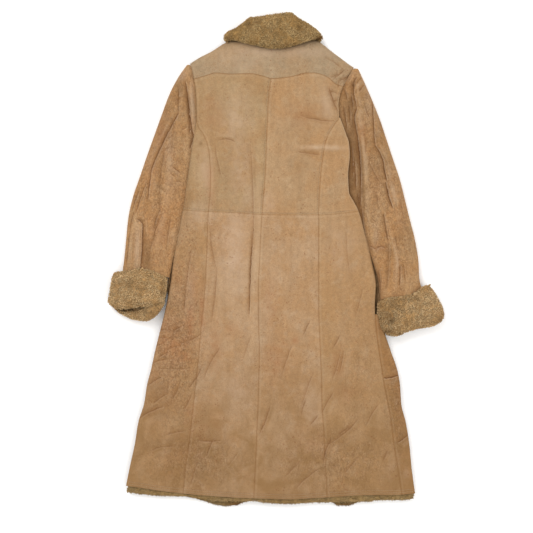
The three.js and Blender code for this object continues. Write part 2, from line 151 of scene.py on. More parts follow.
NECK_LINE = ((-206, 472), (-182, 487), (-158, 499), (-139, 511), (-127, 519), (-106, 526),
             (-85, 526), (-55, 520), (-25, 514), (5, 512), (35, 516), (62, 523), (82, 528),
             (96, 528), (114, 517), (130, 504), (154, 486), (178, 468), (192, 459))
YOKE_SEAM = ((-197, 433), (-170, 441), (-144, 448), (-106, 445), (-62, 446), (-31, 440),
             (-12, 434), (34, 438), (74, 448), (91, 448), (110, 444), (125, 437), (146, 420),
             (172, 413))
# Soft ridges and troughs, each from one point to another, with the bow of its line to
# the left, its half width, its height, which is below zero for a trough, and how sharp
# a crease runs along it. The shade of a crease falls to the left of its direction.
BACK_FOLDS = (
    (-64, -128, -54, 76, 2, 3.5, -2.8, 0.8),
    (-55, 40, -62, 278, -3, 6, -2.0, 0.3),
    (-49, -120, -46, 240, -8, 9, 2.0, 0),
    (-90, -60, -86, 215, -4, 16, -2.0, 0),
    (-156, -154, -142, -24, -2, 5, -2.5, 0.35),
    (-142, -24, -158, 86, 4, 5, -2.0, 0.3),
    (-221, -144, -202, 29, 3, 7, -3.0, 0.4),
    (-172, -284, -134, -210, 4, 7, -3.5, 0.45),
    (-208, -306, -178, -255, -3, 6, -3.5, 0.5),
    (-234, -201, -180, -179, -2, 5, -2.5, 0.55),
    (-300, -248, -246, -237, 3, 5, -2.0, 0.35),
    (-286, -259, -206, -259, -2, 5, -1.5, 0.3),
    (-330, -381, -270, -352, 3, 8, -4.5, 0.5),
    (-40, -417, -14, -348, -3, 6, -3.5, 0.42),
    (-190, -430, -132, -433, -3, 5, -2.0, 0.45),
    (110, -366, 136, -318, 0, 6, -3.0, 0.4),
    (62, -350, 90, -270, 2, 7, -2.5, 0.35),
    (114, -484, 132, -430, 3, 7, -4.0, 0.6),
    (128, -440, 196, -382, -5, 9, -3.5, 0.4),
    (150, -420, 178, -398, 0, 6, -2.0, 0.35),
    (130, -300, 158, -200, -3, 8, -2.5, 0.3),
    (14, -278, 41, -197, 2, 8, -2.5, 0.35),
    (48, -547, 106, -499, 3, 8, -3.5, 0.4),
    (62, -530, 118, -486, 3, 9, 3.5, 0),
    (257, -482, 269, -454, 0, 5, -2.5, 0.3),
    (259, -283, 293, -276, -2, 4, -3.0, 0.9),
    (293, -437, 317, -418, -1, 5, -3.5, 0.9),
    (130, 434, 150, 446, 2, 4, -1.5, 0.3),
    (148, 428, 176, 444, -2, 4, -2.0, 0.4),
    (150, 410, 156, 436, 2, 4, -2.0, 0.35),
    (160, 420, 190, 452, 4, 4, -2.0, 0.35),
    (124, 404, 148, 398, 2, 4, -1.5, 0.25),
    (136, 378, 152, 384, 1, 4, -1.5, 0.25),
    (-139, 288, -98, 283, 4, 4, -1.5, 0.4),
    (-140, 296, -98, 291, 4, 6, 2.5, 0),
    (58, 347, 138, 333, -3, 5, -2.5, 0.4),
    (113, 488, 161, 457, 2, 7, -2.0, 0.25),
    (139, 434, 165, 456, 0, 5, -1.5, 0.4),
    (151, 352, 128, 414, 2, 5, -3.5, 0.5),
    (138, 348, 106, 420, 4, 10, 3.2, 0),
    (58, 270, 166, 266, 2, 7, 3.5, 0),
    (53, 259, 106, 252, 1, 5, -2.5, 0.4),
    (137, -211, 154, -180, 0, 6, -2.0, 0.4),
    (65, -180, 82, -144, 0, 6, -2.0, 0.4),
    (151, -276, 163, -216, 0, 6, -2.0, 0.4),
    (-130, 197, -146, 283, 3, 4, -1.0, 0.3),
    (62, -372, 72, -336, 2, 5, -2.0, 0.4),
    (82, -396, 101, -372, 0, 5, -2.0, 0.4),
    (-290, -170, -260, -167, 1, 4, -1.2, 0.3),
    (-286, -188, -248, -190, 2, 4, -1.2, 0.3),
    (-302, -206, -270, -200, -2, 4, -1.2, 0.3),
    (-262, -216, -232, -205, 1, 4, -1.2, 0.3),
    (-246, -170, -220, -156, 1, 4, -1.5, 0.4),
    (-282, -234, -258, -220, 0, 3, -1.0, 0.35),
    (-308, -302, -272, -280, 2, 5, -2.0, 0.45),
    (-250, -336, -228, -286, -2, 5, -2.0, 0.4),
    (-294, -344, -258, -320, 2, 5, -2.0, 0.4),
    (-222, -366, -200, -318, 0, 5, -1.5, 0.4),
    (-268, -420, -216, -410, 2, 4, -1.2, 0.35),
    (-300, -456, -240, -446, 3, 5, -1.5, 0.35),
    (-166, -470, -150, -430, 1, 5, -1.5, 0.4),
    (-120, -500, -90, -460, 0, 5, -1.5, 0.3),
    (-204, -540, -190, -490, 1, 5, -1.5, 0.35),
    (20, -520, 60, -480, 0, 5, -1.5, 0.3),
    (160, -520, 200, -470, 2, 6, -1.5, 0.3),
    (214, -400, 250, -340, 2, 6, -1.5, 0.3),
    (-80, -240, -60, -180, 0, 5, -1.2, 0.25),
    (190, -140, 210, -60, 0, 6, -1.2, 0.25),
    (-290, -520, -262, -400, -8, 16, 3.0, 0),
    (-122, -540, -110, -330, -6, 20, 2.5, 0),
    (10, -560, 0, -250, 0, 26, 3.0, 0),
    (216, -520, 196, -250, 6, 22, 2.5, 0),
    (20, 300, 30, 380, 0, 16, 1.5, 0),
    (-120, 300, -110, 400, 0, 18, -1.5, 0),
    (66, -80, 60, 60, 0, 18, 1.5, 0),
    (160, -60, 150, 80, 0, 14, 2.0, 0),
    (178, -40, 168, 70, 2, 8, -2.0, 0.2),
    (-214, -30, -200, 60, 0, 12, 2.0, 0),
)
# Where the hide's tone changes, with one painted highlight below the collar: soft patches with their two radii and
# their strength.
BACK_MARKS = {
    "rust": (
        (66, 350, 50, 30, 0.3), (-160, 360, 22, 60, 0.3), (-290, -300, 40, 120, 0.4),
        (-197, -72, 16, 60, 0.45), (-206, -150, 12, 60, 0.9), (-156, 180, 12, 60, 0.5), (-2, -240, 26, 50, 0.5),
        (166, -317, 26, 20, 0.5), (-246, -190, 50, 70, 0.8), (70, 348, 40, 24, 0.4),
        (-236, -70, 14, 60, 0.4), (-220, -230, 30, 18, 0.8), (-178, -120, 8, 70, 0.7),
        (-262, -330, 40, 40, 0.5), (-206, -390, 14, 60, 0.7), (-226, -460, 50, 24, 0.6),
        (-14, -96, 20, 60, 0.35), (-146, -216, 14, 50, 0.45), (-278, -360, 40, 30, 0.35),
        (-170, -408, 22, 40, 0.4), (46, -192, 8, 8, 0.9), (149, -252, 14, 40, 0.4),
        (-106, -168, 22, 16, 0.3), (300, -330, 16, 90, 0.6), (-200, -430, 60, 26, 0.6),
        (-150, -400, 24, 50, 0.4), (-240, -500, 40, 30, 0.4), (90, -440, 40, 30, 0.4),
    ),
    "pale": (
        (-98, 24, 30, 90, 0.7), (-91, -312, 36, 40, 0.5), (-173, -312, 14, 30, 0.4),
        (122, 372, 16, 40, 0.4), (110, 269, 54, 6, 0.6), (82, -365, 20, 60, 0.5),
        (310, -518, 10, 14, 0.8), (278, -499, 22, 34, 0.4), (-98, 336, 40, 60, 0.4),
        (-170, 216, 20, 60, 0.4), (-182, 108, 26, 30, 0.5), (-19, 132, 18, 30, 0.4),
        # (0, 498) is a painted highlight that lifts the shade below the collar.
        (154, 24, 40, 60, 0.3), (-86, 480, 60, 30, 0.3), (0, 498, 130, 12, 0.5),
        (-210, -60, 10, 60, 0.3), (-84, 220, 30, 80, 0.4), (-62, 140, 22, 50, 0.4), (90, -456, 50, 34, 0.2),
    ),
    "soil": (
        (-278, -312, 30, 28, 0.5), (-185, -499, 26, 44, 0.8), (-288, -437, 50, 22, 0.5),
        (-144, -451, 34, 20, 0.6), (-77, -475, 30, 30, 0.4), (38, -492, 50, 40, 0.25),
        (154, -418, 36, 24, 0.25), (250, -432, 36, 40, 0.12), (-14, -564, 160, 14, 0.4),
        (293, -288, 14, 14, 0.6), (305, -432, 14, 14, 0.6), (-122, 192, 14, 50, 0.2),
        (58, 216, 30, 60, 0.25), (-216, 192, 8, 100, 0.4), (-180, 278, 5, 5, 0.9),
        (-113, -178, 3, 3, 1.0), (72, 230, 5, 6, 0.6), (70, 211, 5, 5, 0.6),
        (36, 60, 3, 3, 0.8), (-186, 180, 4, 4, 0.4), (-230, -442, 80, 22, 0.6),
        (-170, -460, 40, 26, 0.7), (-150, -510, 36, 30, 0.6), (-236, -170, 30, 14, 0.5),
        (290, -330, 12, 80, 0.4), (302, -420, 12, 18, 0.9), (296, -450, 14, 14, 0.7),
        (-286, -372, 40, 10, 0.5), (-236, -122, 10, 30, 0.4), (24, 330, 30, 70, 0.16), (96, 340, 60, 50, 0.22),
        (-134, 362, 30, 30, 0.12),
    ),
    "worn": (
        (-240, -200, 70, 230, 1.15), (-200, -480, 130, 80, 0.8), (150, -480, 150, 90, 0.8),
        (-210, 10, 26, 130, 0.7), (156, 436, 36, 30, 0.55), (-170, 450, 40, 24, 0.3),
        (0, 470, 160, 40, 0.08), (200, -300, 50, 220, 0.45), (-20, -320, 150, 160, 0.3),
        (290, -330, 30, 150, 0.9), (150, 190, 40, 60, 0.25), (-150, 60, 60, 120, 0.3),
    ),
    "specks": (
        (-211, 42, 22, 40, 1.0), (-14, -240, 26, 30, 0.9), (16, -552, 24, 14, 0.9),
        (-218, -24, 22, 40, 1.0), (-194, -408, 22, 34, 0.9), (178, -336, 34, 34, 0.6),
        (22, -456, 60, 40, 0.5), (166, -444, 50, 40, 0.5), (-110, -175, 8, 8, 1.0),
        (88, -75, 10, 10, 0.7), (60, 120, 14, 14, 0.4), (-14, -100, 24, 60, 0.5),
        (-185, -499, 30, 44, 0.6), (-250, -200, 60, 70, 0.9),
        (-190, -110, 20, 90, 0.7), (-240, -80, 16, 50, 0.8), (-270, -300, 40, 60, 0.4),
        (-178, -420, 20, 70, 0.8), (-290, -460, 60, 30, 0.5), (-150, -480, 40, 40, 0.7),
    ),
}


def line_through(points):
    """A smooth line through (position, value) pairs that never overshoots them."""
    knots = np.array(sorted(points), float)
    at, value = knots[:, 0], knots[:, 1]
    steps = np.diff(value) / np.diff(at)
    slopes = np.zeros(len(at))
    slopes[0], slopes[-1] = steps[0], steps[-1]
    before, after = steps[:-1], steps[1:]
    same_way = before * after > 0
    slopes[1:-1][same_way] = (2 * before * after / (before + after + 1e-12))[same_way]

    def line(position):
        place = np.clip(position, at[0], at[-1])
        i = np.clip(np.searchsorted(at, place, side="right") - 1, 0, len(at) - 2)
        span = at[i + 1] - at[i]
        t = (place - at[i]) / span
        return ((2 * t**3 - 3 * t**2 + 1) * value[i] + (t**3 - 2 * t**2 + t) * span * slopes[i]
                + (3 * t**2 - 2 * t**3) * value[i + 1] + (t**3 - t**2) * span * slopes[i + 1])
    return line


def body_line(name):
    column = BODY_COLUMNS.index(name)
    return line_through([(row[0], row[column]) for row in BODY])


def shifted(line, distance):
    return lambda position: line(position) + distance


def constant(value):
    return lambda position: np.full_like(np.asarray(position, float), value)


def mix(low, high, part):
    return low + (high - low) * part


def smooth(value, low, high):
    """0 at `low` and 1 at `high`, with soft ends."""
    t = np.clip((value - low) / (high - low), 0, 1)
    return t * t * (3 - 2 * t)


def rounded(distance, radius):
    """0 at a rounded edge and 1 from `radius` inwards, along a quarter circle."""
    away = 1 - np.clip(distance / radius, 0, 1)
    return np.sqrt(1 - away * away)


def folds_at(table, x, y):
    """What the folds do at each point: the height that they add, how much lighter their crests
    and darker their troughs are painted, as painted light and shade with some rubbing and dirt, the signed distance
    to the nearest crease, its depth."""
    height, painted_light_and_wear = np.zeros_like(x), np.zeros_like(x)
    crease, depth = np.full_like(x, 40.0), np.zeros_like(x)
    for x0, y0, x1, y1, bow, width, rise, sharp in table:
        length = math.hypot(x1 - x0, y1 - y0)
        along_x, along_y = (x1 - x0) / length, (y1 - y0) / length
        t = ((x - x0) * along_x + (y - y0) * along_y) / length
        inside = np.clip(t, 0, 1)
        across = (y - y0) * along_x - (x - x0) * along_y - bow * 4 * inside * (1 - inside)
        beyond = (t - inside) * length / width
        crest = np.exp(-np.abs(across / width) ** (2 - 0.8 * sharp) - beyond**2)
        beside = np.exp(-((across + 2.3 * width) / (1.5 * width)) ** 2 - beyond**2)
        fade = smooth(t, -0.15, 0.3) * (1 - smooth(t, 0.7, 1.15))
        height += rise * (crest - 0.35 * beside) * fade
        # Painted light and shade: crests are made paler and troughs darker.
        painted_light_and_wear += 3.0 * rise / width * (crest - 0.5 * beside) * fade
        if sharp:
            away = np.hypot(across, (t - inside) * length)
            nearer = away < np.abs(crease)
            crease = np.where(nearer, np.copysign(away, across), crease)
            run = 0.42 - 0.32 * sharp
            ends = smooth(t, -0.12, run - 0.06) * (1 - smooth(t, 1.06 - run, 1.12))
            depth = np.where(nearer, sharp * ends, depth)
    return height, painted_light_and_wear, crease, depth


def marks_at(marks, x, y):
    """How strongly the soft patches of one kind show at a point, from 0 to 1."""
    shown = np.zeros_like(x)
    for mark_x, mark_y, radius_x, radius_y, strength in marks:
        away = ((x - mark_x) / radius_x) ** 2 + ((y - mark_y) / radius_y) ** 2
        shown = np.maximum(shown, strength * np.exp(-away))
    return shown


WAVES = np.random.default_rng(11).uniform(-1, 1, (14, 3))


def undulation(x, y):
    """Slow unevenness of a hide that has been worn, within about 1 mm."""
    total = np.zeros_like(x)
    for wave_x, wave_y, phase in WAVES:
        total += np.sin(x * wave_x * 0.09 + y * wave_y * 0.05 + phase * math.pi)
    return total / len(WAVES) * 2.2


left, left_seam = body_line("left"), body_line("left_seam")
centre, right_seam = body_line("centre"), body_line("right_seam")
side, right = body_line("side"), body_line("right")
neck_line, yoke_seam = line_through(NECK_LINE), line_through(YOKE_SEAM)


def free_of_sleeve(y):
    return 1 - smooth(y, ARMHOLE_LEVEL - ARMHOLE_FADE, ARMHOLE_LEVEL)


def lap_under_back(x):
    rise = np.clip((x - LAP["outer_left"] + BACK_SLOPE) / BACK_SLOPE, 0, 1)
    drop = np.clip((LAP["outer_right"] + BACK_SLOPE / 2 - x) / BACK_SLOPE, 0, 1)
    return (LAP_RISE + 2 * REST) * np.minimum(smooth(rise, 0, 1), smooth(drop, 0, 1))


def back_surface(x, y):
    inwards = np.minimum(x - left(y), right(y) - x)
    sides = rounded(inwards, SIDE_ROUND)
    beside_sleeve = mix(SEWN_WALL, 1, smooth(inwards, -2, SIDE_ROUND))
    edge = mix(sides, beside_sleeve, smooth(y, *LEAVES_SLEEVE))
    hem = mix(HEM_WALL, 1, rounded(y - hem_line(x), HEM_ROUND))
    shoulder = rounded(neck_line(x) - y, SHOULDER_ROUND)
    wall = RIM + (BACK_WALL - RIM) * edge * hem * shoulder
    height, painted_light_and_wear, crease, depth = folds_at(BACK_FOLDS, x, y)
    level = LAYER + REST + wall + lap_under_back(x) + (height + undulation(x, y)) * edge * hem
    # A painted highlight along the body's edges where it lies over the sleeves, stronger on the right.
    rim = 2.2 * np.exp(-((right(y) - x) / 3.0) ** 2) + 0.8 * np.exp(-((x - left(y)) / 2.5) ** 2)
    painted_light_and_wear = painted_light_and_wear + rim * smooth(y, -40, 120) * (1 - smooth(y, 380, 410))
    return level, painted_light_and_wear, crease, depth


HEM_LINE = ((-366, -541), (-326, -547), (-278, -554), (-230, -560), (-134, -568), (-38, -572),
            (34, -574), (106, -571), (154, -568), (202, -565), (290, -564), (336, -560))
hem_line = line_through(HEM_LINE)

EDGE_STEPS = np.array([0.0, 0.8, 1.8, 3.0])
SEAM_SINK = 0.4
LOW_SKIRT = (-130.0, -500.0)    # the skirt is painted darker and darker between these levels
stitch_rows = []


def graded(count):
    """Parts and insets of a row of points that stand closer together at both ends."""
    inner = np.linspace(0, 1, count + 1 - 2 * (len(EDGE_STEPS) - 1))
    part = np.concatenate([np.zeros(3), inner, np.ones(3)])
    inset = np.concatenate([EDGE_STEPS[:-1], EDGE_STEPS[-1] * (1 - 2 * inner), -EDGE_STEPS[2::-1]])
    return part, inset


def seam_roll(distance):
    """Where a piece turns in to its seam: a sharp dip with a soft swell beside it."""
    return -SEAM_SINK * np.exp(-(distance / 1.5) ** 2) + 0.5 * np.exp(-((distance - 6) / 3.5) ** 2)


def lay_piece(name, sides, cross, surface, end=1.0, seams="", sewn=(), marks=None,
              dark=1.5, facing_down=False, wall=SUEDE_WALL, step=GRID_STEP):
    """One cut piece as a fine grid between two side lines and two cross lines, raised to
    its surface and given its wall. `seams` names the edges that turn in to a seam, and
    `sewn` holds rows of topstitching, each an edge and its distance from it."""
    levels = np.linspace(cross[0](0.0), mix(cross[0](0.0), cross[1](0.0), end), 60)
    widest = float(np.max(sides[1](levels) - sides[0](levels)))
    across = int(widest / step) + 6
    along = int((levels[-1] - levels[0]) / step) + 6
    bpy.ops.object.select_all(action="DESELECT")
    bpy.ops.mesh.primitive_grid_add(x_subdivisions=across, y_subdivisions=along, size=1)
    piece = bpy.context.object
    piece.name = name
    mesh = piece.data
    points = np.empty(len(mesh.vertices) * 3)
    mesh.vertices.foreach_get("co", points)
    points = points.reshape(-1, 3)
    column = np.rint((points[:, 0] + 0.5) * across).astype(int)
    row = np.rint((points[:, 1] + 0.5) * along).astype(int)
    part_x, inset_x = (values[column] for values in graded(across))
    part_y, inset_y = (values[row] for values in graded(along))

    def settle(part_x, inset_x, part_y, inset_y):
        x = np.zeros_like(part_x)
        y = mix(cross[0](x), cross[1](x), part_y * end)
        for _ in range(24):
            low, high = sides[0](y), sides[1](y)
            narrow = np.minimum(1, (high - low) * 0.08)
            x = mix(low, high, part_x) + inset_x * narrow
            y = mix(cross[0](x), cross[1](x), part_y * end) + inset_y
        return x, y

    def level(x, y):
        from_edge = {"L": x - sides[0](y), "R": sides[1](y) - x,
                     "B": y - cross[0](x), "T": cross[1](x) - y}
        height, painted_light_and_wear, crease, depth = surface(x, y)
        for edge in seams:
            height = height + seam_roll(from_edge[edge])
            # Each seam gets a thin dark line, partly painted shade, and beside it a painted highlight, stronger on
            # the left and top edges where the light falls.
            shade = 2.4 if edge in "LR" else dark
            painted_light_and_wear = painted_light_and_wear - shade * np.exp(-(from_edge[edge] / 1.2) ** 2)
            lit = 0.9 if edge in "LT" else 0.2
            painted_light_and_wear = painted_light_and_wear + lit * np.exp(-((from_edge[edge] - 4.5) / 2.5) ** 2)
        return height, {"wear_and_painted_light": painted_light_and_wear, "crease": crease, "crease_depth": depth}, from_edge

    x, y = settle(part_x, inset_x, part_y, inset_y)
    height, looks, from_edge = level(x, y)
    points = np.stack([x, y, height], axis=1) * MM
    mesh.vertices.foreach_set("co", points.ravel())
    for label, table in (marks or {}).items():
        looks[label] = marks_at(table, x, y)
    looks["low_skirt"] = smooth(y, *LOW_SKIRT)
    for label, values in looks.items():
        mesh.attributes.new(label, "FLOAT", "POINT").data.foreach_set("value", values)
    for number in range(2):
        away = np.full_like(x, 100.0)
        if number < len(sewn):
            away = from_edge[sewn[number][0]] - sewn[number][1]
        mesh.attributes.new(f"row_{number}", "FLOAT", "POINT").data.foreach_set("value", away)
    for edge, inset in sewn:
        steps = int((levels[-1] - levels[0] if edge in "LR" else widest) / STITCH_PITCH)
        run = np.linspace(0.004, 0.996, max(2, steps))
        still = np.full_like(run, 0.0 if edge in "LB" else 1.0)
        away = np.full_like(run, inset if edge in "LB" else -inset)
        none = np.zeros_like(run)
        args = (still, away, run, none) if edge in "LR" else (run, none, still, away)
        line_x, line_y = settle(*args)
        stitch_rows.append(np.stack([line_x, line_y, level(line_x, line_y)[0]], axis=1))
    if facing_down:
        mesh.flip_normals()
    mesh.update()
    give_wall(piece, wall)
    area = float(np.mean(sides[1](levels) - sides[0](levels)) * (levels[-1] - levels[0]))
    return piece, (widest * MM, (levels[-1] - levels[0]) * MM, area * MM * MM)


STITCH_PITCH = 4.2


def give_wall(piece, wall):
    bpy.context.view_layer.objects.active = piece
    bpy.ops.object.modifier_add(type="SOLIDIFY")
    piece.modifiers[-1].thickness = wall * MM
    piece.modifiers[-1].offset = -1
    bpy.ops.object.modifier_apply(modifier=piece.modifiers[-1].name)
    bpy.ops.object.shade_smooth_by_angle(angle=math.radians(55))


def new_group(name, inputs, outputs):
    """A shader node group; `inputs` and `outputs` pair socket names with their types."""
    tree = bpy.data.node_groups.new(name, "ShaderNodeTree")
    for socket, kind in inputs:
        tree.interface.new_socket(socket, in_out="INPUT", socket_type=f"NodeSocket{kind}")
    for socket, kind in outputs:
        tree.interface.new_socket(socket, in_out="OUTPUT", socket_type=f"NodeSocket{kind}")
    return tree, tree.nodes.new("NodeGroupInput"), tree.nodes.new("NodeGroupOutput")


def noise(tree, coordinates, scale, detail=3.0, distortion=0.0):
    node = tree.nodes.new("ShaderNodeTexNoise")
    node.inputs["Scale"].default_value = scale
    node.inputs["Detail"].default_value = detail
    node.inputs["Distortion"].default_value = distortion
    tree.links.new(coordinates, node.inputs["Vector"])
    return node.outputs["Fac"]


def ranged(tree, value, low, high, to_low=0.0, to_high=1.0):
    node = tree.nodes.new("ShaderNodeMapRange")
    tree.links.new(value, node.inputs["Value"])
    for socket, number in (("From Min", low), ("From Max", high), ("To Min", to_low),
                           ("To Max", to_high)):
        node.inputs[socket].default_value = number
    return node.outputs["Result"]


def sum_of(tree, operation, first, second):
    node = tree.nodes.new("ShaderNodeMath")
    node.operation = operation
    for socket, value in zip(node.inputs, (first, second)):
        if isinstance(value, (int, float)):
            socket.default_value = value
        else:
            tree.links.new(value, socket)
    return node.outputs["Value"]


def blended(tree, part, first, second, blend="MIX"):
    """Mixes two colours; each may be a socket or a plain colour."""
    node = tree.nodes.new("ShaderNodeMix")
    node.data_type = "RGBA"
    node.blend_type = blend
    for socket, value in ((node.inputs[0], part), (node.inputs[6], first), (node.inputs[7], second)):
        if isinstance(value, (int, float)):
            socket.default_value = value
        elif isinstance(value, tuple):
            socket.default_value = (*value, 1)
        else:
            tree.links.new(value, socket)
    return node.outputs[2]


def attribute(tree, name):
    node = tree.nodes.new("ShaderNodeAttribute")
    node.attribute_name = name
    return node.outputs["Fac"]


def build_nap_group():
    """Suede nap: broad drifts of tone, cloudy patches, brushed streaks and fine fibres."""
    tree, start, end = new_group(
        "suede_nap", [("Base", "Color"), ("Warm", "Color"), ("Pale", "Color")],
        [("Color", "Color"), ("Height", "Float")])
    place = tree.nodes.new("ShaderNodeTexCoord").outputs["Object"]
    brushed = tree.nodes.new("ShaderNodeMapping")
    brushed.inputs["Scale"].default_value = (1.0, 0.16, 1.0)
    tree.links.new(place, brushed.inputs["Vector"])
    drift = noise(tree, place, 12.0, 4.0, 0.6)
    cloud = noise(tree, place, 44.0, 5.0, 0.5)
    patch = noise(tree, place, 120.0, 4.0)
    fleck = noise(tree, place, 210.0, 3.0)
    grain = noise(tree, place, 430.0, 3.0)
    streak = noise(tree, brushed.outputs["Vector"], 75.0, 3.0, 0.2)
    colour = blended(tree, ranged(tree, drift, 0.42, 0.6), start.outputs["Base"],
                     start.outputs["Warm"])
    colour = blended(tree, ranged(tree, cloud, 0.52, 0.7, 0.0, 0.45), colour, start.outputs["Pale"])
    worn = attribute(tree, "worn")
    reddened = sum_of(tree, "MULTIPLY", ranged(tree, fleck, 0.53, 0.66, 0.0, 0.3),
                      ranged(tree, worn, 0.0, 1.0, 0.5, 1.0))
    colour = blended(tree, reddened, colour, (0.28, 0.118, 0.05))
    tone = sum_of(tree, "MULTIPLY", ranged(tree, patch, 0.3, 0.7, 0.92, 1.07),
                  ranged(tree, grain, 0.25, 0.75, 0.84, 1.12))
    coarse = sum_of(tree, "MULTIPLY", worn, ranged(tree, fleck, 0.3, 0.7, -0.24, 0.22))
    tone = sum_of(tree, "MULTIPLY", tone, sum_of(tree, "ADD", coarse, 1.0))
    tone = sum_of(tree, "MULTIPLY", tone, ranged(tree, streak, 0.3, 0.7, 0.93, 1.06))
    colour = blended(tree, 1.0, colour, tone, "MULTIPLY")
    height = sum_of(tree, "ADD", sum_of(tree, "MULTIPLY", grain, 0.35),
                    sum_of(tree, "MULTIPLY", patch, 0.65))
    tree.links.new(colour, end.inputs["Color"])
    tree.links.new(height, end.inputs["Height"])
    return tree


def build_marks_group():
    """Patches of rust, pale bloom and dirt, some pale ones a painted highlight and some dark ones painted shade,
    the lower skirt darker towards the hem, and small dark specks.
    """
    tree, start, end = new_group("suede_marks", [("Color", "Color")], [("Color", "Color")])
    place = tree.nodes.new("ShaderNodeTexCoord").outputs["Object"]
    ragged = noise(tree, place, 55.0, 5.0, 0.4)
    colour = start.outputs["Color"]
    # Some pale patches are painted highlight, and some dark ones painted shade in the sleeve's recess and in the
    # slits by the cuffs.
    for label, tint, strength in (("rust", (0.31, 0.145, 0.064), 0.85),
                                  ("pale", (0.465, 0.33, 0.228), 0.7),
                                  ("soil", (0.175, 0.1, 0.044), 0.75)):
        part = sum_of(tree, "MULTIPLY", attribute(tree, label),
                      ranged(tree, ragged, 0.32, 0.62, 0.35, 1.3))
        colour = blended(tree, sum_of(tree, "MULTIPLY", part, strength), colour, tint)
    low = sum_of(tree, "MULTIPLY", attribute(tree, "low_skirt"),
                 ranged(tree, noise(tree, place, 20.0, 5.0, 0.8), 0.35, 0.62, 0.3, 0.85))
    colour = blended(tree, low, colour, (0.219, 0.121, 0.048))
    dots = tree.nodes.new("ShaderNodeTexVoronoi")
    dots.inputs["Scale"].default_value = 170.0
    tree.links.new(place, dots.inputs["Vector"])
    dot = ranged(tree, dots.outputs["Distance"], 0.36, 0.2)
    sparse = ranged(tree, noise(tree, place, 24.0, 3.0), 0.5, 0.66, 0.02, 0.6)
    density = sum_of(tree, "MAXIMUM", attribute(tree, "specks"), sparse)
    chosen = ranged(tree, noise(tree, place, 130.0, 1.0), 0.46, 0.52)
    speck = sum_of(tree, "MULTIPLY", sum_of(tree, "MULTIPLY", dot, density), chosen)
    colour = blended(tree, sum_of(tree, "MULTIPLY", speck, 0.85), colour, (0.165, 0.06, 0.022))
    tree.links.new(colour, end.inputs["Color"])
    return tree


def build_crackle_group():
    """Fine wrinkles of worn suede: broken dark lines, partly painted shade, each with a painted highlight beside
    it.
    """
    tree, start, end = new_group("suede_crackle", [("Color", "Color")],
                                 [("Color", "Color"), ("Depth", "Float")])
    place = tree.nodes.new("ShaderNodeTexCoord").outputs["Object"]
    colour = start.outputs["Color"]
    deepest = 0.0
    for scale, turn, squeeze, line_width, strength in CRACKLES:
        turned = tree.nodes.new("ShaderNodeMapping")
        turned.inputs["Rotation"].default_value = (0, 0, math.radians(turn))
        turned.inputs["Scale"].default_value = (1.0, squeeze, 1.0)
        tree.links.new(place, turned.inputs["Vector"])
        across = sum_of(tree, "SUBTRACT",
                        noise(tree, turned.outputs["Vector"], scale, 2.0, 0.15), 0.5)
        broken = ranged(tree, noise(tree, place, scale * 0.55, 2.0), 0.44, 0.56)
        broken = sum_of(tree, "MULTIPLY", broken, attribute(tree, "worn"))
        line = ranged(tree, sum_of(tree, "ABSOLUTE", across, 0.0), line_width, line_width * 0.25)
        line = sum_of(tree, "MULTIPLY", line, broken)
        lit = sum_of(tree, "MULTIPLY", ranged(tree, across, line_width, line_width * 1.6),
                     ranged(tree, across, line_width * 3.2, line_width * 2.0))
        lit = sum_of(tree, "MULTIPLY", lit, broken)
        # The pale edge is a painted highlight and the dark line partly painted shade.
        colour = blended(tree, sum_of(tree, "MULTIPLY", lit, strength * 0.35), colour,
                         (0.52, 0.37, 0.235))
        colour = blended(tree, sum_of(tree, "MULTIPLY", line, strength), colour,
                         (0.13, 0.057, 0.022))
        deepest = sum_of(tree, "MAXIMUM", deepest, line)
    tree.links.new(colour, end.inputs["Color"])
    tree.links.new(deepest, end.inputs["Depth"])
    return tree


CRACKLES = (
    # scale, turn in degrees, squeeze along the coat, half width of a line, strength
    (50.0, 12.0, 0.3, 0.014, 0.4),
    (95.0, -20.0, 0.45, 0.03, 0.38),
    (150.0, 38.0, 0.7, 0.045, 0.4),
    (230.0, 70.0, 1.0, 0.06, 0.4),
)


